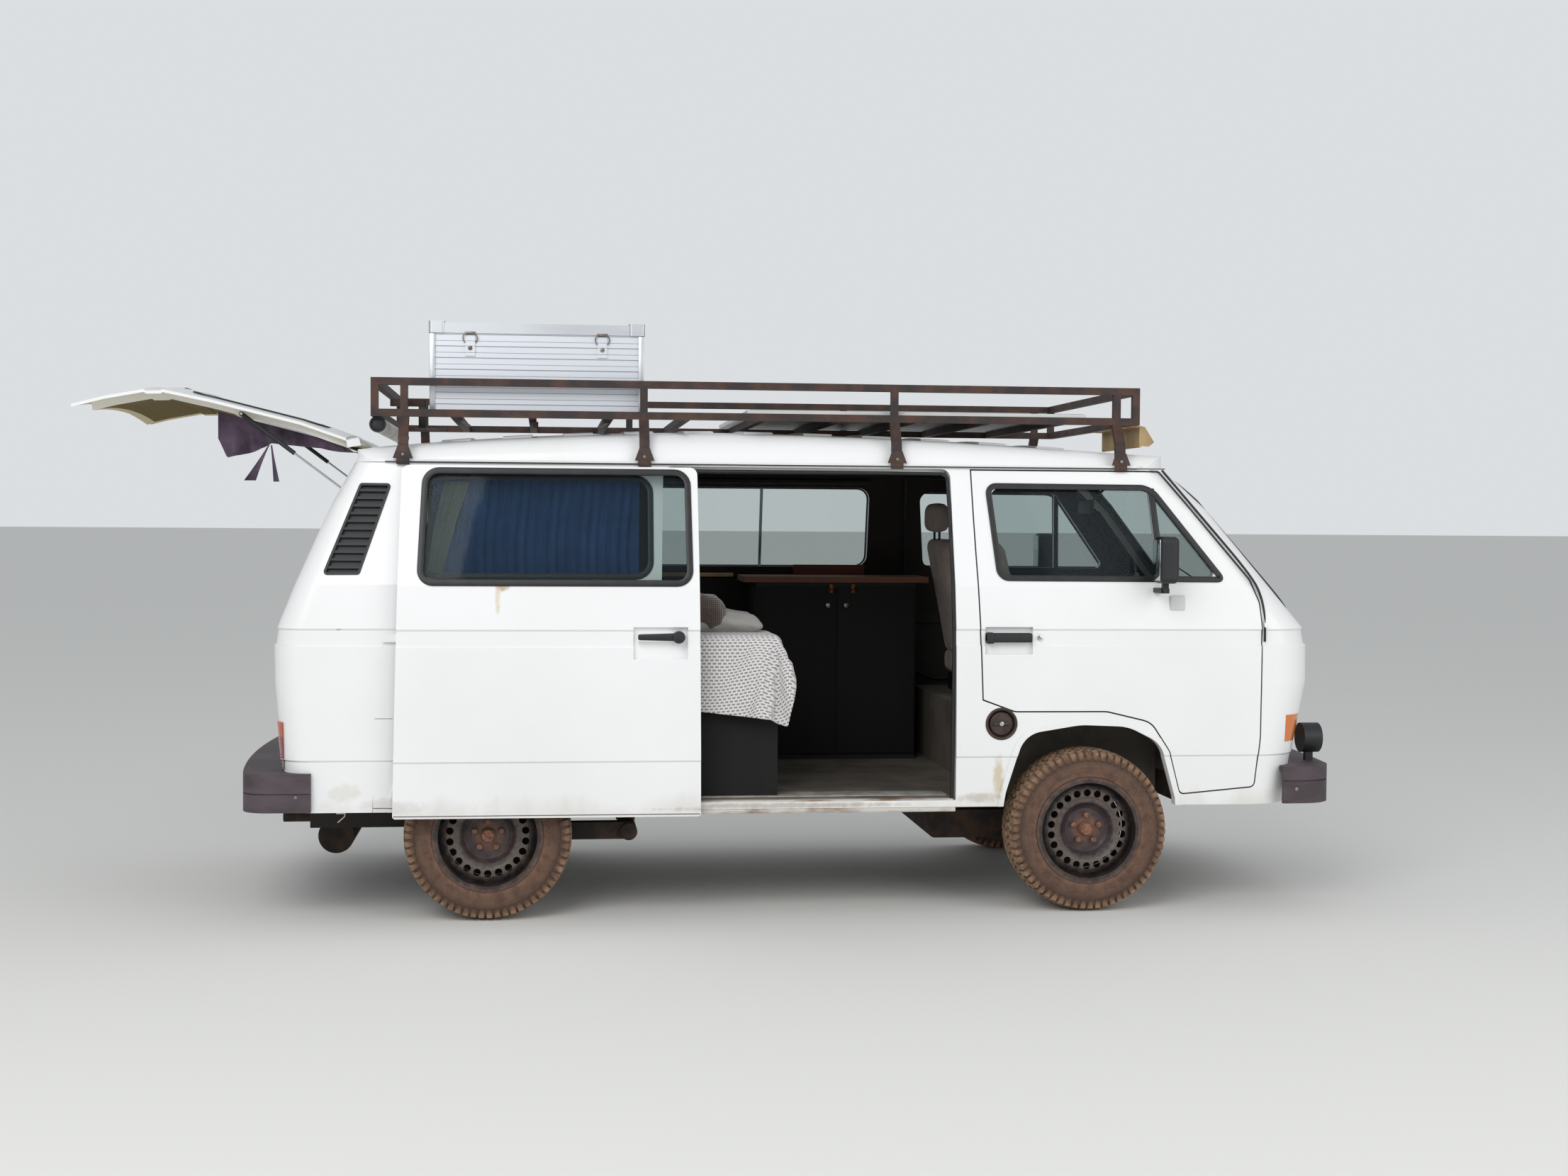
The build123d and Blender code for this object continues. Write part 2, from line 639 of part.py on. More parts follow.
def bumper(front):
    """Plastic bumper: hollow from below, wrapped round the corners of the body."""
    apex = BUMPER_FRONT if front else BUMPER_REAR
    corner = 150 if front else 110

    def form(inset, low, high):
        ends = (-3000, apex - inset) if front else (apex + inset, 3000)
        corners = (110, corner) if front else (corner, 110)
        face = Face(plan_outline(low, BUMPER_HALF - inset, *ends, *corners))
        return Solid.extrude(face, Vector(0, 0, high - low))

    shape = form(0, BUMPER_LOW, BUMPER_HIGH)
    shape = shape - form(BUMPER_WALL, BUMPER_LOW, BUMPER_HIGH - BUMPER_WALL)
    groove = BUMPER_GROOVE_FRONT if front else BUMPER_GROOVE_REAR
    shape = shape - (form(-2, groove, groove + 5) - form(5, groove, groove + 5))
    shape = shape - body_solid(-FIT)
    if front:
        shape = shape & block((BUMPER_FRONT_WRAP, 2500), (-1000, 1000), (400, 700))
    else:
        shape = shape & block((-2500, BUMPER_REAR_WRAP), (-1000, 1000), (400, 700))
    return lone(shape)


def spot_lamps():
    """Two round lamps that stand on the front bumper."""
    lamp = Rot(0, 90, 0) * Cylinder(SPOT_RADIUS, 76)
    foot = block((-16, 16), (-14, 14), (BUMPER_HIGH - SPOT_PLACE[2], -SPOT_RADIUS + 12))
    return on_both_sides(Pos(*SPOT_PLACE) * (lamp + foot))


def body_glass():
    """All fixed panes: windscreen, side windows and the sliding door's window."""
    panes = [*(GLASS_SHELL & windscreen_tool(-FIT)).solids()]
    for _, rear, front, side in SIDE_WINDOWS:
        pane = GLASS_SHELL & window_prism(side_window_rows(rear, front), side, -FIT)
        panes.extend(pane.solids())
    pane = GLASS_SHELL & window_prism(sliding_window_rows(), -1, -FIT)
    panes.extend((Pos(-SLIDING_TRAVEL, -SLIDING_OUT, 0) * pane).solids())
    return Compound(children=panes)


def sliding_door():
    """Sliding door, stored open: moved out and back, held by its three arms."""
    door = BODY_SHELL & sliding_tool(0, BODY_BOTTOM)
    skirt = side_prism(rounded_outline(SLIDING_OUTLINE), -half_width_at(BODY_BOTTOM),
                       -half_width_at(BODY_BOTTOM) + WALL)
    skirt = skirt & block((-700, 700), (-1000, 0), (SLIDING_OUTLINE[0][1], BODY_BOTTOM))
    door = door + skirt - window_prism(sliding_window_rows(), -1)
    handle_x, handle_z = SLIDING_HANDLE
    recess = block((handle_x - 108, handle_x + 108), (-1000, -half_width_at(1000) + 22), (1055, 1182))
    grip = block((handle_x - 92, handle_x + 92), (-half_width_at(1000) - 10, -half_width_at(1000) + 30),
                 (handle_z - 16, handle_z + 16))
    door = door - recess + grip
    rail_z = (GROOVE_BOTTOM + GROOVE_TOP) / 2
    inner_y = -half_width_at(1000) + WALL
    rail_face = -BELT_HALF_WIDTH + GROOVE_DEPTH - RAIL_DEPTH
    middle_arm = block((-545, -500), (inner_y - 5, rail_face + SLIDING_OUT), (rail_z - 14, rail_z + 14))
    upper_arm = block((560, 600), (-770, -645), (SLIDING_RAIL_Z - 12, SLIDING_RAIL_Z))
    lower_arm = block((560, 600), (inner_y - 5, inner_y + 85), (BODY_BOTTOM - 12, BODY_BOTTOM))
    door = door + middle_arm + upper_arm + lower_arm
    return Pos(-SLIDING_TRAVEL, -SLIDING_OUT, 0) * lone(door)


def quarter_post(side, half):
    """Space of the slanted post between a front door's panes."""
    (low_x, low_z), (high_x, high_z) = QUARTER_LIGHT_LOW, QUARTER_LIGHT_HIGH
    lean = (high_x - low_x) / (high_z - low_z)
    ends = [(low_x - lean * 20, low_z - 20), (high_x + lean * 20, high_z + 20)]
    face = make_face(Polyline((ends[0][0] - half, ends[0][1]), (ends[0][0] + half, ends[0][1]),
                              (ends[1][0] + half, ends[1][1]), (ends[1][0] - half, ends[1][1]), close=True))
    return side_prism(face, *sorted((side * 600, side * 1000)))


def front_door(side):
    """Front door with its window opening, handle and the quarter light's post."""
    door = BODY_SHELL & door_tool(side, 0)
    door = door - window_prism(DOOR_WINDOW, side)
    post = body_layer(0, 30) & quarter_post(side, 11) & window_prism(DOOR_WINDOW, side, 5)
    door = door + post
    outer_y = half_width_at(1000)
    recess = block((778, 976), sorted((side * (outer_y - 22), side * 1000)), (1068, 1180))
    grip = block((786, 968), sorted((side * (outer_y - 30), side * (outer_y + 10))), (1120, 1152))
    return lone(door - recess + grip)


def door_glass(side):
    """Panes of a front door, either side of the quarter light's post."""
    pane = GLASS_SHELL & window_prism(DOOR_WINDOW, side, -FIT)
    return Compound(children=(pane - quarter_post(side, 11 + FIT)).solids())


def mirror_piece(side):
    """Door mirror: shell on a bent arm that starts at the door's front corner."""
    shell = fillet(Box(80, 120, 190).edges(), 22)
    shell = Pos(1502, side * 1020, 1458) * shell
    base_y = half_width_at(1322) + FIT
    arm = block((1484, 1520), sorted((side * base_y, side * 1010)), (1322, 1342))
    stem = block((1490, 1514), sorted((side * 996, side * 1020)), (1322, 1375))
    return lone(shell + arm + stem)


def about_gate_hinge(shape, angle):
    """Shape turned about the tailgate's hinge; a positive angle opens."""
    axis = Axis((GATE_HINGE[0], 0, GATE_HINGE[1]), (0, 1, 0))
    return shape.rotate(axis, angle)


def turned_point(point, angle):
    """Point x, z turned about the tailgate's hinge; a positive angle opens."""
    x, z = point[0] - GATE_HINGE[0], point[1] - GATE_HINGE[1]
    c, s = cos(radians(angle)), sin(radians(angle))
    return GATE_HINGE[0] + c * x + s * z, GATE_HINGE[1] - s * x + c * z


def tailgate():
    """Tailgate, stored open: outer skin with a narrower frame inside it and a window."""
    skin = (BODY_OUTER - body_solid(GATE_SKIN)) & gate_tool(0)
    right = [(-half, z) for half, z in GATE_FRAME]
    left = [(half, z) for half, z in reversed(GATE_FRAME)]
    frame = BODY_SHELL & end_prism(right + left, -2400, -1600)
    top_skin = ROOF_SHELL & gate_tool(0)
    gate = lone(skin + frame + top_skin - gate_window_tool(0))
    gate = gate + pins(STRUT_GATE_PIN, GATE_FRAME[0][0] - 4, STRUT_Y + STRUT_RADIUS)
    return about_gate_hinge(lone(gate), GATE_OPEN)


def gate_window_tool(grow):
    """Space of the tailgate's window."""
    (low_half, low), (high_half, high) = GATE_WINDOW
    points = [(-low_half - grow, low - grow), (low_half + grow, low - grow),
              (high_half + grow, high + grow), (-high_half - grow, high + grow)]
    return end_prism(points, -2400, -1600, GATE_WINDOW_CORNER)


def tailgate_glass():
    """Rear window, in the open tailgate."""
    pane = GLASS_SHELL & gate_window_tool(-FIT)
    return about_gate_hinge(lone(pane), GATE_OPEN)


def pins(place, inner, outer):
    """A strut's pin on each side of the van, between two distances from the middle."""
    length = outer - inner
    pin = Rot(90, 0, 0) * Cylinder(STRUT_PIN_RADIUS, length)
    right = Pos(place[0], -(inner + length / 2), place[1]) * pin
    return right + mirrored(right)


def wheel(side):
    """Steel wheel with a drum and hub, built on the Y axis with its outside towards +Y."""
    lip = RIM_LIP_RADIUS
    seat = BEAD_RADIUS
    edge = RIM_HALF_WIDTH
    sheet = 6
    rim = Polyline((-edge, lip), (-edge + sheet, lip), (-edge + sheet, seat), (-52, seat), (-38, 182),
                   (8, 182), (26, seat), (edge - sheet, seat), (edge - sheet, lip), (edge, lip),
                   (edge, seat - sheet), (29, seat - sheet), (11, 176), (-41, 176), (-55, seat - sheet),
                   (-edge, seat - sheet), close=True)
    disc = Polyline((32, 200), (40, 200), (52, 182), (60, 164), (60, 138), (52, 126), (52, 112), (34, 96),
                    (26, 84), (26, 30), (18, 30), (18, 88), (27, 101), (43, 114), (45, 130), (52, 142),
                    (52, 162), (46, 178), (34, 192), close=True)
    bore = STUB_RADIUS + RUNNING_CLEARANCE
    hub = Polyline((-62, bore), (-62, 130), (20, 130), (20, 30), (44, 30), (56, 24), (58, 0), (30, 0),
                   (30, bore), close=True)
    shape = None
    for profile in (rim, disc, hub):
        ring = revolve(Plane.YZ * make_face(profile), axis=Axis.Y)
        shape = ring if shape is None else shape + ring
    hole = Rot(90, 0, 0) * Cylinder(DISC_HOLE_RADIUS, 60)
    for index in range(DISC_HOLES):
        turn = Rot(0, 360 / DISC_HOLES * index, 0)
        shape = shape - turn * Pos(0, 56, DISC_HOLE_CIRCLE) * hole
    bolt = Rot(90, 0, 0) * extrude(RegularPolygon(11, 6), amount=8, both=True)
    for index in range(WHEEL_BOLTS):
        turn = Rot(0, 360 / WHEEL_BOLTS * index, 0)
        shape = shape + turn * Pos(0, 32, WHEEL_BOLT_CIRCLE) * bolt
    return lone(shape)


def tyre():
    """Tyre on the Y axis: bead, bulged wall, shoulder and crown."""
    half = TYRE_WIDTH / 2
    bead = RIM_HALF_WIDTH - 6 - FIT
    wall_top = TYRE_RADIUS - 26
    shoulder = TYRE_RADIUS - 7
    profile = Wire([
        Edge.make_line((-bead, BEAD_RADIUS, 0), (bead, BEAD_RADIUS, 0)),
        Edge.make_line((bead, BEAD_RADIUS, 0), (bead, RIM_LIP_RADIUS + 4, 0)),
        Edge.make_three_point_arc((bead, RIM_LIP_RADIUS + 4, 0), (half, 268, 0), (half - 8, wall_top, 0)),
        Edge.make_line((half - 8, wall_top, 0), (half - 20, shoulder, 0)),
        Edge.make_three_point_arc((half - 20, shoulder, 0), (0, TYRE_RADIUS, 0), (20 - half, shoulder, 0)),
        Edge.make_line((20 - half, shoulder, 0), (8 - half, wall_top, 0)),
        Edge.make_three_point_arc((8 - half, wall_top, 0), (-half, 268, 0), (-bead, RIM_LIP_RADIUS + 4, 0)),
        Edge.make_line((-bead, RIM_LIP_RADIUS + 4, 0), (-bead, BEAD_RADIUS, 0)),
    ])
    return lone(revolve(Plane.YZ * Face(profile), axis=Axis.Y))


def at_wheel(shape, axle, side):
    """Shape built on the Y axis, outside towards +Y, moved to a wheel's place."""
    turn = Rot(0, 0, 0) if side > 0 else Rot(0, 0, 180)
    return Pos(axle, side * WHEEL_MIDDLE_Y, TYRE_RADIUS) * turn * shape


def knuckle():
    """Front knuckle: stub axle, backing plate, upright and the two kingpins."""
    stub = Pos(0, -34, 0) * Rot(90, 0, 0) * Cylinder(STUB_RADIUS, 126)
    plate = Pos(0, -72, 0) * Rot(90, 0, 0) * Cylinder(96, 10)
    upright = Pos(0, -KINGPIN_OFFSET, 0) * Box(56, 30, 236)
    pins = Pos(0, -KINGPIN_OFFSET, 0) * Cylinder(KINGPIN_RADIUS, 316)
    return lone(stub + plate + upright + pins)


def front_suspension():
    """Cross member with the upper and lower arms that hold the kingpins, and the coil dampers."""
    pin_y = WHEEL_MIDDLE_Y - KINGPIN_OFFSET
    shape = block((1160, 1300), (-440, 440), (CHASSIS_RAIL_Z - 64, CHASSIS_RAIL_Z))
    for z in (TYRE_RADIUS - 138, TYRE_RADIUS + 138):
        arm = block((1205, 1255), (-pin_y, -ARM_INNER_Y), (z - 14, z + 14))
        arm = arm + Pos(FRONT_AXLE, -pin_y, z) * Cylinder(27, 28)
        arm = arm - Pos(FRONT_AXLE, -pin_y, z) * Cylinder(KINGPIN_RADIUS + RUNNING_CLEARANCE, 60)
        shape = shape + arm + mirrored(arm)
    tower = block((1190, 1270), (-440, -372), (180, 500))
    coil = Pos(FRONT_AXLE, -430, 372) * Cylinder(44, 300 - 28)
    shape = shape + tower + mirrored(tower) + coil + mirrored(coil)
    return lone(shape)


def rear_suspension():
    """Trailing arms with the rear stub axles, cross tube, gearbox and drive shafts."""
    stub = Pos(REAR_AXLE, -(WHEEL_MIDDLE_Y - 60), TYRE_RADIUS) * Rot(90, 0, 0) * Cylinder(STUB_RADIUS, 178)
    plate = Pos(REAR_AXLE, -(WHEEL_MIDDLE_Y - 78), TYRE_RADIUS) * Rot(90, 0, 0) * Cylinder(96, 16)
    arm = block((REAR_AXLE - 60, -640), (-678, -618), (TYRE_RADIUS - 45, TYRE_RADIUS + 25))
    shaft = Pos(REAR_AXLE, -400, TYRE_RADIUS) * Rot(90, 0, 0) * Cylinder(22, 610)
    shape = stub + plate + arm + shaft
    shape = shape + mirrored(shape)
    cross = Pos(-660, 0, CHASSIS_RAIL_Z - 40) * Rot(90, 0, 0) * Cylinder(35, 1400)
    hanger = block((-700, -620), (-CHASSIS_RAIL_Y - 30, -CHASSIS_RAIL_Y + 30),
                   (CHASSIS_RAIL_Z - 40, CHASSIS_RAIL_Z))
    gearbox = fillet(block((-1450, -930), (-120, 120), (250, 430)).edges(), 20)
    neck = block((-935, -640), (-40, 40), (300, CHASSIS_RAIL_Z - 20))
    return lone(shape + cross + hanger + mirrored(hanger) + gearbox + neck)


def joined(parts):
    """All parts of a list as one shape."""
    shape = parts[0]
    for part in parts[1:]:
        shape = shape + part
    return shape


def load_floor():
    """Load floor, wall in front of the engine, engine deck and the rear wheels' arches."""
    wide = 1000
    parts = [
        block((ENGINE_WALL_X, CAB_STEP_X - SHEET - FIT), (-wide, wide), (FLOOR_TOP - FLOOR_THICK, FLOOR_TOP)),
        block((-2400, ENGINE_WALL_X), (-wide, wide), (ENGINE_DECK_TOP - SHEET, ENGINE_DECK_TOP)),
        block((ENGINE_WALL_X - SHEET, ENGINE_WALL_X), (-ARCH_INNER_Y, ARCH_INNER_Y),
              (FLOOR_TOP - FLOOR_THICK, ENGINE_DECK_TOP)),
    ]
    for side in (-1, 1):
        inner = sorted((side * ARCH_INNER_Y, side * (ARCH_INNER_Y + SHEET)))
        outer = sorted((side * ARCH_INNER_Y, side * wide))
        parts.append(block((-1640, -1625), outer, (BODY_BOTTOM, ENGINE_DECK_TOP)))
        parts.append(block((-845, -830), outer, (FLOOR_TOP - FLOOR_THICK, ENGINE_DECK_TOP)))
        parts.append(block((-1640, -830), inner, (BODY_BOTTOM, ENGINE_DECK_TOP)))
        parts.append(block((-1640, -830), outer, (ENGINE_DECK_TOP - SHEET, ENGINE_DECK_TOP)))
    shape = joined(parts)
    for side in (-1, 1):
        shape = shape - block((-1625, -845), sorted((side * (ARCH_INNER_Y + SHEET), side * wide)),
                              (400, ENGINE_DECK_TOP - SHEET))
    return lone(shape & CABIN)


def cab_floor():
    """Step, seat box, footwell and front arch walls of the cab: sheets set against each other."""
    wide = 1000
    under_box = SEAT_BOX_TOP - SHEET - FIT
    sheets = [
        block((CAB_STEP_X - SHEET, CAB_STEP_X), (-wide, wide), (FLOOR_TOP - FLOOR_THICK, under_box)),
        block((CAB_STEP_X - SHEET, FOOTWELL_X), (-wide, wide), (SEAT_BOX_TOP - SHEET, SEAT_BOX_TOP)),
        block((FOOTWELL_X - SHEET, FOOTWELL_X), (-wide, wide), (FOOTWELL_Z + FIT, under_box)),
        block((FOOTWELL_X - SHEET, 2400), (-wide, wide), (FOOTWELL_Z - SHEET, FOOTWELL_Z)),
    ]
    for side in (-1, 1):
        steered = sorted((side * STEERED_ARCH_INNER_Y, side * (STEERED_ARCH_INNER_Y + SHEET)))
        wall = block((CAB_STEP_X + FIT, FOOTWELL_X - SHEET - FIT), steered, (BODY_BOTTOM, under_box))
        arm_slot = block((FRONT_AXLE - 90, FRONT_AXLE + 90), sorted((side * 450, side * 540)), (400, 530))
        sheets.append(wall - arm_slot)
    return Compound(children=[lone(sheet & CABIN) for sheet in sheets])


def frame_rail(side):
    """Frame rail below the floors, with two uprights to the seat box."""
    width = sorted((side * (CHASSIS_RAIL_Y - CHASSIS_RAIL / 2), side * (CHASSIS_RAIL_Y + CHASSIS_RAIL / 2)))
    top = SEAT_BOX_TOP - SHEET - FIT
    rail = block((-1050, CHASSIS_RAIL_FRONT), width, (CHASSIS_RAIL_Z, FLOOR_TOP - FLOOR_THICK - FIT))
    rear_post = block((CAB_STEP_X + 20, CAB_STEP_X + 80), width, (CHASSIS_RAIL_Z, top))
    front_post = block((CHASSIS_RAIL_FRONT - 60, CHASSIS_RAIL_FRONT), width, (CHASSIS_RAIL_Z, top))
    return lone(rail + rear_post + front_post)


def floor():
    """Load floor and the two frame rails below it."""
    return Compound(children=[load_floor(), frame_rail(-1), frame_rail(1)])


def engine_block():
    """Engine as one plain block."""
    return block((-1985, -1450), (-340, 340), (300, 640))


def exhaust():
    """Silencer across the rear, below the engine, with its tail pipe."""
    can = Pos(-1880, 0, 262) * Rot(90, 0, 0) * Cylinder(75, 620)
    hanger = block((-1895, -1865), (-250, 250), (262, 300))
    pipe = Pos(-2010, 270, 262) * Rot(0, 90, 0) * (Cylinder(24, 320) - Cylinder(20, 330))
    return lone((can & block((-2300, -1500), (-600, 600), (150, 300))) + hanger + pipe)


def fuel_tank():
    """Fuel tank behind the front axle, hung from the frame rails."""
    low = CHASSIS_RAIL_Z - 120
    tank = block((640, 1020), (-440, 440), (low, CHASSIS_RAIL_Z))
    return lone(fillet(tank.edges().filter_by(Axis.Y), 30))


def dashboard():
    """Dashboard across the cab, with its binnacle."""
    face = make_face(Polyline((1800, 1000), (1760, 1130), (1800, 1205), (2060, 1205), (2100, 1150),
                              (2100, 1000), close=True))
    shape = side_prism(face, -1000, 1000) & CABIN
    hood = fillet(block((1745, 1860), (260, 560), (1180, 1262)).edges(), 12)
    housing = Pos(0, 0, -190) * Cylinder(36, 240)
    bore = Pos(0, 0, -130) * Cylinder(COLUMN_RADIUS + RUNNING_CLEARANCE, 130)
    return lone(shape + hood + steering_wheel_place() * housing - steering_wheel_place() * bore)


def steering_wheel_place():
    """Frame of the steering wheel: its middle, with Z along the column towards the driver."""
    return Pos(*STEERING_WHEEL) * Rot(0, -COLUMN_LEAN, 0)


def steering_wheel():
    """Steering wheel with rim, two spokes, boss and a short column."""
    rim = Torus(185, 14)
    boss = Cylinder(45, 40)
    spokes = Box(40, 360, 14)
    column = Pos(0, 0, -80) * Cylinder(COLUMN_RADIUS, 140)
    return lone(steering_wheel_place() * (rim + boss + spokes + column))


def front_seats():
    """Two front seats with headrests on the seat box."""
    base = block((930, 1420), (-640, -220), (SEAT_BOX_TOP, 880))
    cushion = fillet(block((900, 1460), (-670, -190), (880, 1010)).edges(), 35)
    face = make_face(Polyline((900, 960), (1030, 960), (880, 1560), (780, 1560), close=True))
    back = side_prism(face, -665, -195)
    head = fillet(block((745, 840), (-560, -300), (1585, 1730)).edges(), 35)
    stalk = block((785, 805), (-460, -400), (1550, 1600))
    seat = base + cushion + back + stalk + head
    return on_both_sides(lone(seat))


def bed():
    """Bed platform over the engine deck, with its box in front."""
    top = block((-2100, -60), (-860, 420), (1010, 1030))
    front = block((-80, -60), (-820, 420), (FLOOR_TOP, 1010))
    side = block((-825, -80), (-820, -800), (FLOOR_TOP, 1010))
    post = block((-2050, -2030), (-700, 400), (ENGINE_DECK_TOP, 1010))
    return lone((top + front + side + post) & CABIN)


def mattress():
    """Mattress on the bed."""
    slab = block((-2080, -62), (-855, 418), (1030 + FIT, 1130)) & body_solid(WALL + 6)
    return lone(slab)


def blanket():
    """White blanket that hangs over the front edge of the bed."""
    face = make_face(Polyline((-620, 1130 + FIT), (-620, 1160), (-90, 1160), (-20, 1120), (-5, 1000),
                              (-40, 800), (-52, 740), (-59, 740), (-59.7, 1131), close=True))
    return lone(side_prism(face, -800, -240))


def pillow():
    """Brown pillow at the front of the bed."""
    shape = fillet(block((-560, -200), (-700, -250), (1160 + FIT, 1290)).edges(), 45)
    return lone(shape)


def kitchen_unit():
    """Cupboard under the far windows, with a long worktop."""
    carcass = block((-20, 740), (455, 1000), (FLOOR_TOP, 1318)) & CABIN
    top = block((-75, 800), (440, half_width_at(1400) - WALL - 8), (1318, 1345))
    return lone(carcass + top)


def curtains():
    """Gathered curtains: one behind the sliding door's window, one at the left rear window."""
    top = CURTAIN_ROD_Z - 8 - FIT
    right = block((-1460, -620), (-735, -711), (1330, top))
    left = block((-1480, -1250), (711, 735), (1345, top))
    return Compound(children=[*right.solids(), *left.solids()])


def gate_cloth():
    """Dark cloth that hangs gathered below the near side of the open tailgate's frame."""
    near_y = -GATE_FRAME[0][0] + 8
    bundle = block(GATE_CLOTH_X, (near_y, near_y + GATE_CLOTH_THICK), (GATE_CLOTH_LOW, 2100))
    above = block((-2400, -1500), (-900, 900), (BODY_BOTTOM, GUTTER_Z)) - body_solid(WALL + FIT)
    return lone(bundle - about_gate_hinge(above, GATE_OPEN))


def roof_rack():
    """Roof rack of square tube: two rails a side, cross bars, uprights and legs to the gutter."""
    half = RACK_TUBE / 2

    def along(y, z):
        return block((RACK_REAR, RACK_FRONT), (y - half, y + half), (z - half, z + half))

    def across(x, z):
        return block((x - half, x + half), (-RACK_Y, RACK_Y), (z - half, z + half))

    shape = along(RACK_Y, RACK_LOW_Z) + along(-RACK_Y, RACK_LOW_Z)
    shape = shape + along(RACK_Y, RACK_TOP_Z) + along(-RACK_Y, RACK_TOP_Z)
    for x in (RACK_REAR + half, RACK_FRONT - half):
        shape = shape + across(x, RACK_TOP_Z)
    for index in range(RACK_BARS):
        x = RACK_REAR + half + (RACK_FRONT - RACK_REAR - RACK_TUBE) * index / (RACK_BARS - 1)
        shape = shape + across(x, RACK_LOW_Z)
    for side in (-1, 1):
        for x in (RACK_REAR + half, *RACK_POSTS, RACK_FRONT - half):
            shape = shape + block((x - half, x + half), (side * RACK_Y - half, side * RACK_Y + half),
                                  (RACK_LOW_Z, RACK_TOP_Z))
        for x in RACK_POSTS:
            foot_y = ROOF_HALF_WIDTH + 18
            line = [(foot_y, GUTTER_Z + GUTTER_HEIGHT), (foot_y - 9, RACK_KNEE_Z), (RACK_Y, RACK_LOW_Z - half)]
            points = [(side * (y - half), z) for y, z in line]
            points = points + [(side * (y + half), z) for y, z in reversed(line)]
            shape = shape + end_prism(points, x - RACK_LEG_X / 2, x + RACK_LEG_X / 2)
    return lone(shape)


def solar_panel():
    """Two thin solar panels on the front part of the rack."""
    low = RACK_LOW_Z + RACK_TUBE / 2
    frame = block(PANEL_ENDS, (-690, -4), (low, low + 16))
    return on_both_sides(frame)


def rack_pipe():
    """White pipe that lies across under the rear end of the rack."""
    radius = 31
    z = RACK_LOW_Z - RACK_TUBE / 2 - radius
    return Pos(RACK_REAR + 25, 0, z) * Rot(90, 0, 0) * (Cylinder(radius, 1400) - Cylinder(radius - 4, 1400))


def wind_deflector():
    """Board across below the front of the rack, with a gusset at its near end."""
    top = RACK_LOW_Z - RACK_TUBE / 2
    board = block((1478, 1486), (-700, -120), (DEFLECTOR_LOW, top))
    hook = block((1440, 1486), (-700, -120), (top - 6, top))
    gusset = make_face(Polyline((1480, DEFLECTOR_LOW + 6), (1480, top), (1502, top - 4),
                                (1542, DEFLECTOR_LOW + 22), (1520, DEFLECTOR_LOW + 4), close=True))
    return lone(board + hook + side_prism(gusset, -700, -694))


def case_tray():
    """Open body of the roof case, with shallow ribs all round and two latches on its near side."""
    low = RACK_LOW_Z + RACK_TUBE / 2

    def ring(grow, bottom, top):
        outer = block((CASE_REAR - grow, CASE_FRONT + grow),
                      (CASE_NEAR_Y - grow, CASE_FAR_Y + grow), (bottom, top))
        return fillet(outer.edges().filter_by(Axis.Z), 14 + grow)

    shape = ring(0, low, CASE_RIM_Z)
    for index in range(CASE_RIBS):
        z = low + 26 + CASE_RIB_PITCH * index
        shape = shape + ring(3, z, z + 22)
    inner = block((CASE_REAR + CASE_WALL, CASE_FRONT - CASE_WALL),
                  (CASE_NEAR_Y + CASE_WALL, CASE_FAR_Y - CASE_WALL), (low + CASE_WALL, CASE_RIM_Z))
    shape = shape - inner
    for x in CASE_LATCHES:
        shape = shape + block((x - 20, x + 20), (CASE_NEAR_Y - 9, CASE_NEAR_Y + 2),
                              (CASE_RIM_Z - 92, CASE_RIM_Z - 8))
    return lone(shape)


def case_lid():
    """Lid of the roof case, hinged along its far side, with castings on its corners."""
    grow = CASE_LID_PROUD
    low = CASE_RIM_Z + FIT
    outer = block((CASE_REAR - grow, CASE_FRONT + grow),
                  (CASE_NEAR_Y - grow, CASE_FAR_Y + grow), (low, CASE_TOP_Z))
    shape = fillet(outer.edges().filter_by(Axis.Z), 20)
    for x in (CASE_REAR - grow, CASE_FRONT + grow):
        for y in (CASE_NEAR_Y - grow, CASE_FAR_Y + grow):
            inward_x = 1 if x < (CASE_REAR + CASE_FRONT) / 2 else -1
            inward_y = 1 if y < (CASE_NEAR_Y + CASE_FAR_Y) / 2 else -1
            casting = block(sorted((x - inward_x * 4, x + inward_x * 62)),
                            sorted((y - inward_y * 4, y + inward_y * 62)), (low, CASE_TOP_Z + 6))
            shape = shape + fillet(casting.edges().filter_by(Axis.Z), 12)
    inner = block((CASE_REAR + CASE_WALL, CASE_FRONT - CASE_WALL),
                  (CASE_NEAR_Y + CASE_WALL, CASE_FAR_Y - CASE_WALL), (low, CASE_TOP_Z - CASE_WALL))
    return lone(shape - inner)


def strut_line():
    """Length of a gas strut with the tailgate open, and its slope from the tailgate's pin."""
    gate_pin = turned_point(STRUT_GATE_PIN, GATE_OPEN)
    dx, dz = STRUT_BODY_PIN[0] - gate_pin[0], STRUT_BODY_PIN[1] - gate_pin[1]
    return gate_pin, hypot(dx, dz), degrees(atan2(dz, dx))


def strut_cylinder(side):
    """Cylinder of a gas strut, with its eye on the tailgate's pin."""
    (x, z), _, slope = strut_line()
    eye = Rot(90, 0, 0) * Cylinder(STRUT_RADIUS, 12)
    tube = Pos(STRUT_CYLINDER / 2, 0, 0) * Rot(0, 90, 0) * Cylinder(STRUT_RADIUS, STRUT_CYLINDER)
    bore = Pos(STRUT_CYLINDER / 2 + 15, 0, 0) * Rot(0, 90, 0) * Cylinder(
        ROD_RADIUS + RUNNING_CLEARANCE, STRUT_CYLINDER)
    hole = Rot(90, 0, 0) * Cylinder(STRUT_PIN_RADIUS + RUNNING_CLEARANCE, 60)
    shape = tube + eye - bore - hole
    return lone(Pos(x, side * STRUT_Y, z) * Rot(0, -slope, 0) * shape)


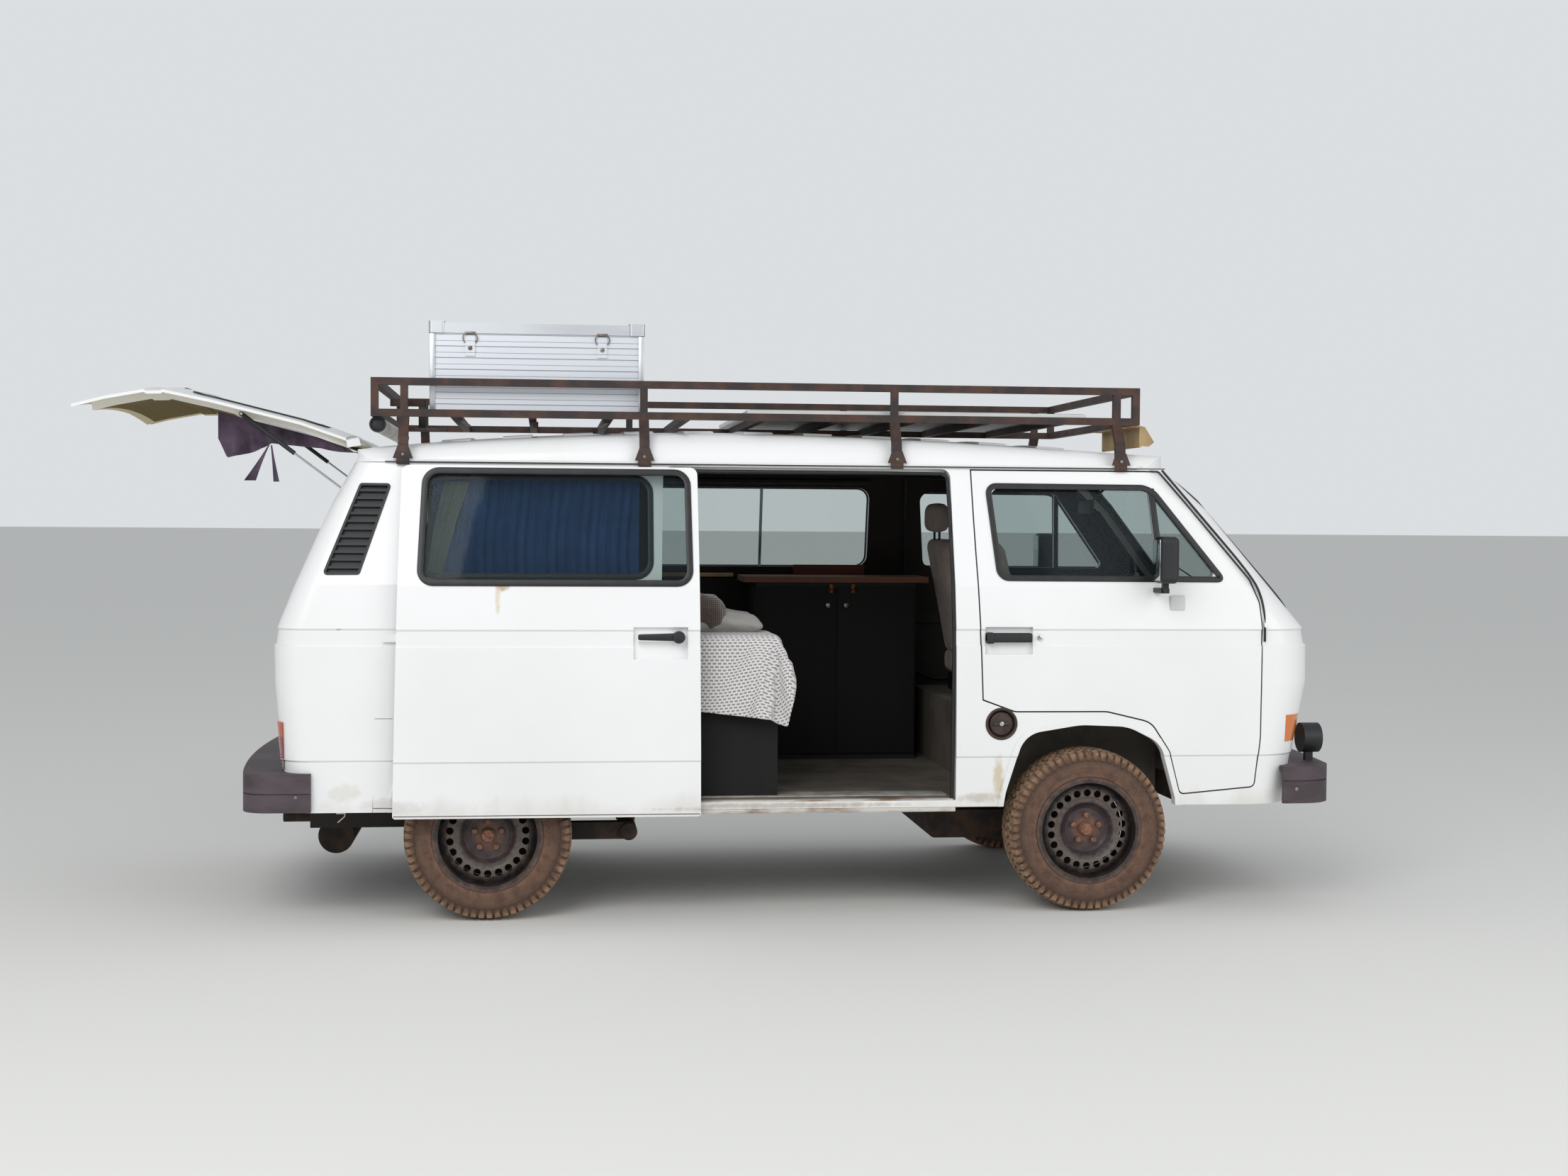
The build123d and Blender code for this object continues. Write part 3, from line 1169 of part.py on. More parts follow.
def strut_rod(side):
    """Rod of a gas strut, with its eye on the body's pin."""
    (x, z), length, slope = strut_line()
    start = STRUT_CYLINDER - 24
    rod = Pos((start + length) / 2, 0, 0) * Rot(0, 90, 0) * Cylinder(ROD_RADIUS, length - start)
    eye = Pos(length, 0, 0) * Rot(90, 0, 0) * Cylinder(STRUT_RADIUS, 12)
    hole = Pos(length, 0, 0) * Rot(90, 0, 0) * Cylinder(STRUT_PIN_RADIUS + RUNNING_CLEARANCE, 60)
    return lone(Pos(x, side * STRUT_Y, z) * Rot(0, -slope, 0) * (rod + eye - hole))


NAMES_OF_SIDES = [("left", 1), ("right", -1)]


def all_pieces():
    """Every piece of the van by its name, in the drawing frame."""
    pieces = {
        "roof": roof_panel(),
        "nose_panel": nose_panel(),
        "rear_panel": rear_panel(),
        "floor": floor(),
        "cab_floor": cab_floor(),
        "body_glass": body_glass(),
        "sliding_door": sliding_door(),
        "grille": grille(),
        "headlamps": headlamps(),
        "front_indicators": front_indicators(),
        "tail_lamps": tail_lamps(),
        "air_vents": air_vents(),
        "bumper_front": bumper(True),
        "bumper_rear": bumper(False),
        "spot_lamps": spot_lamps(),
        "dashboard": dashboard(),
        "steering_wheel": steering_wheel(),
        "front_seats": front_seats(),
        "bed": bed(),
        "mattress": mattress(),
        "blanket": blanket(),
        "pillow": pillow(),
        "kitchen_unit": kitchen_unit(),
        "curtains": curtains(),
        "roof_rack": roof_rack(),
        "solar_panel": solar_panel(),
        "rack_pipe": rack_pipe(),
        "wind_deflector": wind_deflector(),
        "case_tray": case_tray(),
        "case_lid": case_lid(),
        "engine_block": engine_block(),
        "exhaust": exhaust(),
        "fuel_tank": fuel_tank(),
        "front_suspension": front_suspension(),
        "rear_suspension": rear_suspension(),
        "tailgate": tailgate(),
        "tailgate_glass": tailgate_glass(),
        "gate_cloth": gate_cloth(),
    }
    tyre_solid = tyre()
    wheel_solid = wheel(1)
    for name, side in NAMES_OF_SIDES:
        pieces["side_" + name] = side_panel(side)
        pieces["door_" + name] = front_door(side)
        pieces["door_glass_" + name] = door_glass(side)
        pieces["mirror_" + name] = mirror_piece(side)
        pieces["strut_cylinder_" + name] = strut_cylinder(side)
        pieces["strut_rod_" + name] = strut_rod(side)
        pieces["knuckle_" + name] = at_wheel(knuckle(), FRONT_AXLE, side)
        for place, axle in (("front", FRONT_AXLE), ("rear", REAR_AXLE)):
            pieces["wheel_" + place + "_" + name] = at_wheel(wheel_solid, axle, side)
            pieces["tyre_" + place + "_" + name] = at_wheel(tyre_solid, axle, side)
    return pieces


pieces = all_pieces()
whole = Compound(children=[solid for piece in pieces.values() for solid in piece.solids()])
box = whole.bounding_box()
shift = -(box.min.X + box.max.X) / 2
os.makedirs("parts", exist_ok=True)
for name, piece in pieces.items():
    solids = [Pos(shift, 0, 0) * solid for solid in piece.solids()]
    export_step(solids[0] if len(solids) == 1 else Compound(children=solids), "parts/" + name + ".step")
print("moved along X by", round(shift, 3))
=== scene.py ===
import json
import math

import bpy
from mathutils import Matrix, Vector


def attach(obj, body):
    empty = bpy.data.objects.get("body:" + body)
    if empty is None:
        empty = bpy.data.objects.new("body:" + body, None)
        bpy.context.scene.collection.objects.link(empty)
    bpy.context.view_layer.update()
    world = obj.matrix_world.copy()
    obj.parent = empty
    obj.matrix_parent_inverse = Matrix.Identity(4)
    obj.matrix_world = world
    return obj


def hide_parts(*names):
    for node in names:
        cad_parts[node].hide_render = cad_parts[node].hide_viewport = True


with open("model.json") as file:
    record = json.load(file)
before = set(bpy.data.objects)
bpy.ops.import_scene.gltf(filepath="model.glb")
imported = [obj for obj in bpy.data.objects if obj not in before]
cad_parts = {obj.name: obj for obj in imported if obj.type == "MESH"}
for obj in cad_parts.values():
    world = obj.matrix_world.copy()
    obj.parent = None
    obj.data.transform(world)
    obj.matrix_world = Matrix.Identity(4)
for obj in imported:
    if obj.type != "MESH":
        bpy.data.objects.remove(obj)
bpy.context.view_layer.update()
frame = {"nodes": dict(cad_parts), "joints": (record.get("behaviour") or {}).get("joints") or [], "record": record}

# The van's frame: X forward, Y to its left, Z up, origin on the ground below the middle of its box.
# Sizes here are millimetres from half way between the axles; DX is that place, in metres.
HUB_X = [row["pos_m"][0] for row in frame["joints"] if row["name"] in ("roll_front_left", "roll_rear_left")]
DX = sum(HUB_X) / 2
AXLE = 1230
HUB_HEIGHT = 336.5
WHEEL_MIDDLE = 792
SIDES = (("right", -1), ("left", 1))
ACROSS = (0, 1, 0)
ALONG = (1, 0, 0)

# Body section: height, half width, front end and rear end on the middle line
SECTION = [
    (442, 899, 2150, -2070), (644, 910, 2179, -2084), (651, 916, 2184, -2090), (690, 917, 2190, -2092),
    (950, 921, 2239, -2115), (1100, 922, 2238, -2118), (1108, 914, 2229, -2110), (1164, 914, 2218, -2102),
    (1172, 921, 2222, -2106), (1345, 902, 2075, -2036), (1665, 826, 1812, -1893), (1832, 785, 1630, -1799),
]
FRONT_BOW = 6000
REAR_BOW = 7000
GATE_HINGE = (-1730, 1904)
GATE_OPEN = 80.3
SLIDE = (-1044, -75)


def level(z, column):
    """A value of the body's section at height z."""
    for low, high in zip(SECTION, SECTION[1:]):
        if z <= high[0]:
            share = (z - low[0]) / (high[0] - low[0])
            return low[column] + (high[column] - low[column]) * share
    return SECTION[-1][column]


def spot(x, y, z):
    """A point in metres from millimetres of the drawing."""
    return Vector((x / 1000 + DX, y / 1000, z / 1000))


def front_face(y, z, proud):
    """The bowed front; the drawing's first number is y."""
    return level(z, 2) - (FRONT_BOW - math.sqrt(FRONT_BOW ** 2 - y ** 2)) + proud, y, z


def rear_face(y, z, proud):
    """The bowed rear with the tailgate shut; the drawing's first number is y."""
    return level(z, 3) + (REAR_BOW - math.sqrt(REAR_BOW ** 2 - y ** 2)) - proud, y, z


def near_side(x, z, proud):
    """The right body side."""
    return x, -level(z, 1) - proud, z


def far_side(x, z, proud):
    """The left body side."""
    return x, level(z, 1) + proud, z


def open_sliding_door(x, z, proud):
    """The sliding door, moved to its open place."""
    return x + SLIDE[0], -level(z, 1) - proud + SLIDE[1], z


def linear(code):
    """A colour written as an sRGB hex code, as linear numbers."""
    values = [int(code[i:i + 2], 16) / 255 for i in (1, 3, 5)]
    return [v / 12.92 if v <= 0.04045 else ((v + 0.055) / 1.055) ** 2.4 for v in values] + [1.0]


def feed(node, inputs):
    """Fills a node's inputs, in order or by name or number, with sockets, hex codes or plain values."""
    for key, value in inputs.items() if isinstance(inputs, dict) else enumerate(inputs):
        if isinstance(value, bpy.types.NodeSocket):
            node.id_data.links.new(value, node.inputs[key])
        else:
            node.inputs[key].default_value = linear(value) if isinstance(value, str) else value


def add_node(tree, kind, inputs=(), out=0, stops=(), **settings):
    """Adds a shader node and gives one output; stops are a ramp's places with a hex code or a grey level."""
    node = tree.nodes.new("ShaderNode" + kind)
    for key, value in settings.items():
        setattr(node, key, value)
    for _ in stops[2:]:
        node.color_ramp.elements.new(0.5)
    for index, (place, tone) in enumerate(stops):
        element = node.color_ramp.elements[index]
        element.position = place
        element.color = linear(tone) if isinstance(tone, str) else (tone, tone, tone, 1)
    feed(node, inputs)
    return node.outputs[out]


def parts_of(tree, kind="Object"):
    """X, Y and Z of a point's Object coordinates, or of its Normal."""
    return add_node(tree, "SeparateXYZ", [add_node(tree, "TexCoord", out=kind)]).node.outputs


def cloudy(tree, size, detail=4.0, rough=0.55, stretch=(1, 1, 1)):
    """Noise over Object coordinates, with features of about size metres."""
    at = add_node(tree, "Mapping", {0: add_node(tree, "TexCoord", out="Object"), "Scale": stretch})
    return add_node(tree, "TexNoise", {0: at, "Scale": 1 / size, "Detail": detail, "Roughness": rough}, "Fac")


def patches(tree, size, low, high, full=1.0, **noise):
    """Soft patches of about size metres: nothing where the noise is under low, full where it is over high."""
    return add_node(tree, "ValToRGB", [cloudy(tree, size, **noise)], stops=[(low, 0.0), (high, full)])


def new_material(name):
    """An empty material with its nodes and its shader."""
    material = bpy.data.materials.new(name)
    material.use_nodes = True
    return material, material.node_tree, material.node_tree.nodes["Principled BSDF"]


def plain(name, code, roughness, patch=None, patch_size=0.3, metallic=0.0, grain=0.0, grain_size=0.004,
          coat=0.0, stretch=(1, 1, 1)):
    """A finish with one colour, or two in soft patches, and a fine grain."""
    material, tree, shader = new_material(name)
    feed(shader, {"Base Color": code, "Roughness": roughness, "Metallic": metallic, "Coat Weight": coat})
    if patch:
        spots = patches(tree, patch_size, 0.42, 0.62, stretch=stretch)
        feed(shader, {"Base Color": add_node(tree, "Mix", {0: spots, 6: code, 7: patch}, 2, data_type="RGBA")})
    if grain:
        height = cloudy(tree, grain_size, 2)
        bump = add_node(tree, "Bump", {"Height": height, "Strength": grain, "Distance": grain_size * 0.3})
        feed(shader, {"Normal": bump})
    return material


# Marks on the paint: x, z, half width, half height in millimetres, colour, strength
PAINT_MARKS = [
    (-1172, 1345, 40, 30, "#a98a4e", 0.8), (-1190, 1300, 16, 90, "#c9b27c", 0.5),
    (-1600, 470, 170, 40, "#8a7154", 0.2), (-1790, 520, 90, 50, "#b7ab94", 0.25),
    (840, 560, 30, 120, "#b9a25c", 0.55), (760, 480, 120, 30, "#a99c86", 0.5),
    (-40, 455, 700, 16, "#8c7a66", 0.5), (-1810, 1168, 14, 5, "#7c6c58", 0.5),
]
# Seams and small holes in the near side's paint: rear end, front end, low, high, in millimetres
PAINT_SEAMS = [
    (-1681.5, -1678.7, 442, 1162), (-1680, -1601, 815, 817.4), (-1906, -1680, 583, 584.6),
    (-1990, -1601, 457, 460.5), (-1596, -388, 433, 437), (-1795, -1788, 603, 610), (-1816, -1810, 541, 547),
    (-1829, -1823, 545, 550), (-1786, -1780, 501, 507),
]
# Which way a covered inner face looks, as X, Y or Z, and the limit that picks it out
LININGS = {"side": (1, -0.35), "end": (0, -0.6), "top": (2, -0.5), "gate": (2, -0.15)}


def body_paint(name, lining):
    """White body paint with marks near the sills; lining names the face that is covered inside.

    Sides, ends and roof are dark inside; the tailgate is cream, with olive hardboard on its outer half.
    """
    material, tree, shader = new_material(name)
    at = parts_of(tree)
    facing = parts_of(tree, "Normal")
    haze = patches(tree, 1.1, 0.4, 0.75)
    colour = add_node(tree, "Mix", {0: haze, 6: "#f0f0f0", 7: "#e8e8e6"}, 2, data_type="RGBA")
    height = add_node(tree, "Math", [at[2], 1 / 0.22, -0.43 / 0.22], operation="MULTIPLY_ADD")
    dust = add_node(tree, "Math", [cloudy(tree, 0.12, 6, stretch=(1, 1, 0.4)), height], operation="SUBTRACT")
    dusty = add_node(tree, "ValToRGB", [dust], stops=[(0.15, 0.0), (0.55, 0.3)])
    colour = add_node(tree, "Mix", {0: dusty, 6: colour, 7: "#b9ae9c"}, 2, data_type="RGBA")
    near = add_node(tree, "Math", [at[1], -0.5], operation="LESS_THAN")
    ragged = add_node(tree, "Math", [cloudy(tree, 0.03, 5), -1.3, 1.35], operation="MULTIPLY_ADD")
    for x, z, wide, tall, code, strength in PAINT_MARKS:
        inside = ragged
        for place, middle, size in ((at[0], x / 1000 + DX, wide / 1000), (at[2], z / 1000, tall / 1000)):
            away = add_node(tree, "Math", [place, middle], operation="SUBTRACT")
            away = add_node(tree, "Math", [away, size], operation="DIVIDE")
            away = add_node(tree, "Math", [away, away], operation="MULTIPLY")
            inside = add_node(tree, "Math", [inside, away], operation="SUBTRACT")
        mark = add_node(tree, "ValToRGB", [inside], stops=[(0.0, 0.0), (0.6, strength)])
        mark = add_node(tree, "Math", [mark, near], operation="MULTIPLY")
        colour = add_node(tree, "Mix", {0: mark, 6: colour, 7: code}, 2, data_type="RGBA")
    for rear, front, low, high in PAINT_SEAMS if lining == "side" else ():
        across = add_node(tree, "Math", [at[0], (rear + front) / 2000 + DX, (front - rear) / 2000],
                          operation="COMPARE")
        upward = add_node(tree, "Math", [at[2], (low + high) / 2000, (high - low) / 2000], operation="COMPARE")
        seam = add_node(tree, "Math", [across, upward], operation="MULTIPLY")
        seam = add_node(tree, "Math", [seam, near], operation="MULTIPLY")
        colour = add_node(tree, "Mix", {0: seam, 6: colour, 7: "#5b5654"}, 2, data_type="RGBA")
    axis, limit = LININGS[lining]
    inward = facing[2]
    if axis < 2:
        inward = add_node(tree, "Math", [at[axis], facing[axis]], operation="MULTIPLY")
    inner = add_node(tree, "Math", [inward, limit], operation="LESS_THAN")
    if lining == "gate":
        across = add_node(tree, "Math", [at[0], DX - 2.5415, 0.2415], operation="COMPARE")
        beside = add_node(tree, "Math", [at[1], 0.0, 0.566], operation="COMPARE")
        board = add_node(tree, "Math", [across, beside], operation="MULTIPLY")
        olive = add_node(tree, "Mix", {0: cloudy(tree, 0.2), 6: "#7c6728", 7: "#675522"}, 2, data_type="RGBA")
        cover = add_node(tree, "Mix", {0: board, 6: "#e2d6ae", 7: olive}, 2, data_type="RGBA")
    else:
        cover = add_node(tree, "Mix", {0: cloudy(tree, 0.05), 6: "#1d1917", 7: "#282320"}, 2, data_type="RGBA")
    waves = cloudy(tree, 0.35, 2)
    feed(shader, {
        "Base Color": add_node(tree, "Mix", {0: inner, 6: colour, 7: cover}, 2, data_type="RGBA"),
        "Roughness": add_node(tree, "Math", [inner, 0.53, 0.32], operation="MULTIPLY_ADD"),
        "Coat Weight": add_node(tree, "Math", [inner, -0.3, 0.3], operation="MULTIPLY_ADD"),
        "Coat Roughness": 0.12,
        "Normal": add_node(tree, "Bump", {"Height": waves, "Strength": 0.25, "Distance": 0.004}),
    })
    return material


# Thick white enamel, sprayed and polished long ago: bright, with a soft gloss and slight waves
side_paint = body_paint("white_enamel_side", "side")
end_paint = body_paint("white_enamel_end", "end")
roof_paint = body_paint("white_enamel_roof", "top")
gate_paint = body_paint("white_enamel_gate", "gate")
# Worn vinyl floor covering: dull grey-brown with scuffs
floor_vinyl = plain("floor_vinyl", "#6a635a", 0.8, "#565048", 0.2)
# Moulded ABS, grained: nearly black, its high spots greyed by the sun
black_plastic = plain("black_abs", "#17181a", 0.5, "#202123", grain=0.3, grain_size=0.002)
# Weathered polypropylene of the bumpers: grey where the sun has bleached it
bumper_plastic = plain("bumper_polypropylene", "#41373b", 0.6, "#53474d", 0.25, grain=0.25,
                       grain_size=0.003, stretch=(1, 1, 3))
# Moulded vinyl of the cab: dark and dull
cab_plastic = plain("cab_vinyl", "#211f1e", 0.6, grain=0.3, grain_size=0.002)
# Oiled birch plywood: warm brown with long grain
birch = plain("oiled_plywood", "#8a5f3a", 0.5, "#6d4829", 0.06, stretch=(0.12, 1, 1))
# Dark plywood of the cupboards and the bed, made nearly black: painted shade over its own dark stain
shade_darkened_wood = plain("shade_darkened_plywood", "#0b0807", 0.85, "#070505", 0.06, stretch=(1, 1, 0.12))
# Red stained board behind the worktop
red_wood = plain("red_stained_board", "#6d2c20", 0.6, "#57221a", 0.05, stretch=(0.1, 1, 1))
# Tarnished brass of the hooks
rusty_brass = plain("tarnished_brass", "#7a4f35", 0.5, "#4a2d1f", 0.01, metallic=0.8)
# Rack paint: brown-black brushed enamel with rust showing through
rack_paint = plain("rack_enamel", "#2b2220", 0.6, "#4a2f23", 0.09)
# White anodised frame of the solar panels: even, with a soft shine
frame_white = plain("white_anodised", "#dcdddb", 0.4, "#cfd0cd")
# White PVC pipe, dusty
pipe_white = plain("white_pvc", "#dcdad2", 0.4, "#bdb6a8", 0.1)
# Beige hardboard, bleached and streaked
beige = plain("beige_board", "#b79c72", 0.7, "#97805c", 0.15, stretch=(1, 1, 0.3))
# Bare aluminium sheet, rolled and slightly dulled
aluminium = plain("rolled_aluminium", "#cdd0d4", 0.42, "#bdc0c5", 0.2, metallic=1.0,
                  stretch=(0.2, 1, 1))
# Oily cast iron: dark, with a greasy sheen
casting = plain("oily_casting", "#3a3733", 0.6, "#292521", metallic=0.6)
# Black steel below the body, dusty and rusty
under_steel = plain("dusty_steel", "#26211d", 0.8, "#463225", 0.08)
# Ground and plated piston rod: mirror-like
rod_steel = plain("plated_rod", "#c5c8ca", 0.18, metallic=1.0)
# Chrome plate on small fittings
chrome = plain("chrome_plate", "#c9ccce", 0.12, "#aeb0b0", 0.02, metallic=1.0)
# Zinc plate, dull, on bolts
zinc = plain("zinc_plate", "#8f8f8a", 0.42, "#6d5a48", 0.02, metallic=1.0)
# Extruded rubber round the panes: black with a soft shine
seal_rubber = plain("seal_rubber", "#131314", 0.42, "#1d1d1e", 0.05)
# Red and amber acrylic of the lamps: clear gloss over moulded prisms
red_lens = plain("red_acrylic", "#8c1512", 0.14, coat=0.6, grain=0.5, grain_size=0.012)
amber_lens = plain("amber_acrylic", "#d9741c", 0.16, coat=0.6, grain=0.5, grain_size=0.012)
# Rusty heads of the wheel bolts
bolt_rust = plain("rusty_steel", "#8b5f4a", 0.75, "#5f3e30", 0.012, grain=0.4, grain_size=0.003)
# Brown plastic of the fuel filler
filler_plastic = plain("filler_plastic", "#33251f", 0.55, "#463329", 0.04)
# Enamelled sill strips: dull grey-white with rust
sill_metal = plain("sill_enamel", "#c9c4bb", 0.6, "#7a5b45", 0.07, stretch=(0.3, 1, 1))
# Scuffed aluminium tread plate
tread_plate = plain("tread_plate", "#c2bfb8", 0.5, "#9b958a", 0.12, metallic=0.4)


def from_hub(tree):
    """Distance from the hub of the nearer wheel, seen from the side, in metres."""
    at = parts_of(tree)
    along = add_node(tree, "Math", [at[0], DX], operation="SUBTRACT")
    along = add_node(tree, "Math", [along], operation="ABSOLUTE")
    along = add_node(tree, "Math", [along, AXLE / 1000], operation="SUBTRACT")
    upward = add_node(tree, "Math", [at[2], HUB_HEIGHT / 1000], operation="SUBTRACT")
    place = add_node(tree, "CombineXYZ", [along, upward])
    return add_node(tree, "VectorMath", [place], "Value", operation="LENGTH")


def wheel_finish():
    """Black wheel enamel: grey and dusty round the holes, rusty at the bolts and the cap."""
    material, tree, shader = new_material("wheel_enamel")
    uneven = add_node(tree, "Math", [cloudy(tree, 0.02, 5), 0.05, -0.025], operation="MULTIPLY_ADD")
    ring = add_node(tree, "Math", [from_hub(tree), uneven], operation="ADD")
    ring = add_node(tree, "Math", [ring, 4], operation="MULTIPLY")
    bands = add_node(tree, "ValToRGB", [ring], stops=[
        (0.0, "#8f6552"), (0.14, "#7b5646"), (0.27, "#3a2b2e"), (0.43, "#2e2428"), (0.53, "#5f564f"),
        (0.64, "#4d4540"), (0.72, "#1d1a1b"), (0.82, "#2f2523"), (0.90, "#64493e"),
    ])
    dust = patches(tree, 0.05, 0.45, 0.7, 0.5)
    feed(shader, {"Base Color": add_node(tree, "Mix", {0: dust, 6: bands, 7: "#5b4b3e"}, 2, data_type="RGBA"),
                  "Roughness": 0.5})
    return material


def tyre_finish():
    """Tyre rubber under dry mud: light brown on the tread, darker brown on the wall."""
    material, tree, shader = new_material("tyre_rubber")
    ring = add_node(tree, "Math", [from_hub(tree), 5, -1], operation="MULTIPLY_ADD")
    bands = add_node(tree, "ValToRGB", [ring], stops=[
        (0.0, "#46352b"), (0.12, "#735646"), (0.36, "#634b3d"), (0.46, "#503e32"), (0.54, "#82644f"),
        (0.68, "#a18468"),
    ])
    mud = patches(tree, 0.035, 0.42, 0.62, 0.7, detail=7, rough=0.65)
    grit = cloudy(tree, 0.004, 3)
    feed(shader, {
        "Base Color": add_node(tree, "Mix", {0: mud, 6: bands, 7: "#4b382f"}, 2, data_type="RGBA"),
        "Roughness": 0.88,
        "Normal": add_node(tree, "Bump", {"Height": grit, "Strength": 0.4, "Distance": 0.001}),
    })
    return material


def woven(name, code, patch, thread, strength=0.5, sheen=0.2):
    """Cloth with a plain weave: two sets of fine ridges thread metres apart, and faded patches."""
    material, tree, shader = new_material(name)
    faded = patches(tree, 0.12, 0.35, 0.7)
    ridges = []
    for direction in ("X", "Z"):
        wave = {0: add_node(tree, "TexCoord", out="Object"), "Scale": 0.3 / thread, "Distortion": 1.5,
                "Detail": 1.0}
        ridges.append(add_node(tree, "TexWave", wave, "Fac", bands_direction=direction))
    weave = add_node(tree, "Math", ridges, operation="ADD")
    feed(shader, {
        "Base Color": add_node(tree, "Mix", {0: faded, 6: code, 7: patch}, 2, data_type="RGBA"),
        "Roughness": 0.95, "Sheen Weight": sheen,
        "Normal": add_node(tree, "Bump", {"Height": weave, "Strength": strength, "Distance": thread * 0.3}),
    })
    return material


wheel_paint = wheel_finish()
rubber = tyre_finish()
# Seat cloth: brown-grey velour with a coarse rib
seat_cloth = woven("seat_velour", "#ab9991", "#8f8078", 0.006)
# Mattress ticking: even and matt
mattress_cloth = woven("mattress_ticking", "#86817a", "#75706a", 0.005)
# Brown fleece, napped: soft light at its edges
fleece = woven("brown_fleece", "#57453b", "#44362e", 0.008, strength=0.9, sheen=0.6)
# Dark blue cotton of the curtains
blue_cotton = woven("blue_cotton", "#4f79c4", "#3d62a8", 0.004)
# Light grey cotton of the pillow's slip
grey_cotton = woven("grey_cotton", "#a9a6a2", "#98948f", 0.004)
# Black-out cotton: dark purple, and a copy with paler purple patches, a painted sheen of sunlight
purple_cotton = woven("blackout_cotton", "#241d28", "#33293a", 0.004)
sheen_painted_cotton = woven("sheen_painted_cotton", "#2d2432", "#604e64", 0.004)


def knit_finish():
    """White crochet: staggered rows of short holes in soft cotton, on the sides and on top alike."""
    material, tree, shader = new_material("white_crochet")
    at = parts_of(tree)
    level_run = add_node(tree, "Math", [at[0], at[1]], operation="SUBTRACT")
    down_run = add_node(tree, "Math", [at[1], at[2]], operation="ADD")
    flat = add_node(tree, "CombineXYZ", [level_run, down_run])
    holes = add_node(tree, "TexBrick", {0: flat, "Scale": 1.0, "Mortar Size": 0.0048, "Mortar Smooth": 0.4,
                                        "Brick Width": 0.021, "Row Height": 0.014}, "Fac")
    soft = add_node(tree, "Mix", {0: cloudy(tree, 0.1), 6: "#dedbd7", 7: "#cdc9c6"}, 2, data_type="RGBA")
    feed(shader, {
        "Base Color": add_node(tree, "Mix", {0: holes, 6: "#857f87", 7: soft}, 2, data_type="RGBA"),
        "Roughness": 0.97, "Sheen Weight": 0.3,
        "Normal": add_node(tree, "Bump", {"Height": holes, "Strength": 0.6, "Distance": 0.003}),
    })
    return material


def pane(name, code, tint, share):
    """A see-through pane: tinted clear layer mixed with a glossy one."""
    material, tree, shader = new_material(name)
    feed(shader, {"Base Color": code, "Roughness": 0.03, "IOR": 1.5})
    clear = add_node(tree, "BsdfTransparent", [tint])
    both = add_node(tree, "MixShader", [share, clear, shader.outputs[0]])
    feed(tree.nodes["Material Output"], {"Surface": both})
    return material


def cell_finish():
    """Solar cells under glass: dark blue squares with pale lines every 158 mm."""
    material, tree, shader = new_material("solar_cells")
    cells = add_node(tree, "TexBrick", {
        0: add_node(tree, "TexCoord", out="Object"), "Color1": "#12182c", "Color2": "#161d33",
        "Mortar": "#8c9096", "Scale": 1.0, "Mortar Size": 0.0018, "Brick Width": 0.158, "Row Height": 0.158,
    }, "Color", offset=0.0)
    feed(shader, {"Base Color": cells, "Roughness": 0.15})
    return material


def ribbed_finish():
    """Ribbed aluminium sheet of the case: pale, with dark lines of painted shade where each rib starts and ends.
    """
    material, tree, shader = new_material("ribbed_aluminium")
    step = add_node(tree, "Math", [parts_of(tree)[2], 2.025], operation="SUBTRACT")
    step = add_node(tree, "Math", [step, 0.047], operation="MODULO")
    # Painted shade: grey lines at the start and end of each rib
    start = add_node(tree, "Math", [step, 0.0022], operation="LESS_THAN")
    end = add_node(tree, "Math", [step, 0.0216, 0.0011], operation="COMPARE")
    lines = add_node(tree, "Math", [start, end], operation="MAXIMUM")
    streaks = cloudy(tree, 0.2, stretch=(0.2, 1, 1))
    sheet = add_node(tree, "Mix", {0: streaks, 6: "#dfe2e7", 7: "#cdd1d8"}, 2, data_type="RGBA")
    feed(shader, {"Base Color": add_node(tree, "Mix", {0: lines, 6: sheet, 7: "#8d9095"}, 2, data_type="RGBA"),
                  "Metallic": 0.85, "Roughness": 0.45})
    return material


def worktop_finish():
    """Cupboard wood: nearly black below, in painted shade, with a red-brown edge on the worktop."""
    material, tree, shader = new_material("cupboard_wood")
    top = add_node(tree, "Math", [parts_of(tree)[2], 1.3175], operation="GREATER_THAN")
    grain = cloudy(tree, 0.05, 5, stretch=(0.1, 1, 1))
    edge = add_node(tree, "Mix", {0: grain, 6: "#8a5a41", 7: "#5c3426"}, 2, data_type="RGBA")
    # Painted shade: the wood below the worktop edge is made nearly black
    under = add_node(tree, "Mix", {0: grain, 6: "#0b0807", 7: "#070505"}, 2, data_type="RGBA")
    feed(shader, {"Base Color": add_node(tree, "Mix", {0: top, 6: under, 7: edge}, 2, data_type="RGBA"),
                  "Roughness": 0.75})
    return material


def tail_finish():
    """Tail lamp acrylic: amber above, red, and a clear part at the foot."""
    material, tree, shader = new_material("tail_acrylic")
    height = parts_of(tree)[2]
    foot = add_node(tree, "Math", [height, 0.655], operation="LESS_THAN")
    head = add_node(tree, "Math", [height, 0.742], operation="GREATER_THAN")
    lower = add_node(tree, "Mix", {0: foot, 6: "#8c1512", 7: "#b9b4ae"}, 2, data_type="RGBA")
    ribs = add_node(tree, "TexWave", {0: add_node(tree, "TexCoord", out="Object"), "Scale": 24.0,
                                      "Distortion": 0.0}, "Fac", bands_direction="Z")
    feed(shader, {
        "Base Color": add_node(tree, "Mix", {0: head, 6: lower, 7: "#c0510f"}, 2, data_type="RGBA"),
        "Roughness": 0.16, "Coat Weight": 0.6,
        "Normal": add_node(tree, "Bump", {"Height": ribs, "Strength": 0.5, "Distance": 0.002}),
    })
    return material


knit = knit_finish()
# Float glass of the windows, faintly green
window_glass = pane("float_glass", "#39434a", "#eef3f2", 0.10)
# Moulded lamp glass, milky
lamp_glass = pane("lamp_glass", "#b9bebe", "#e8ecec", 0.7)
solar_cells = cell_finish()

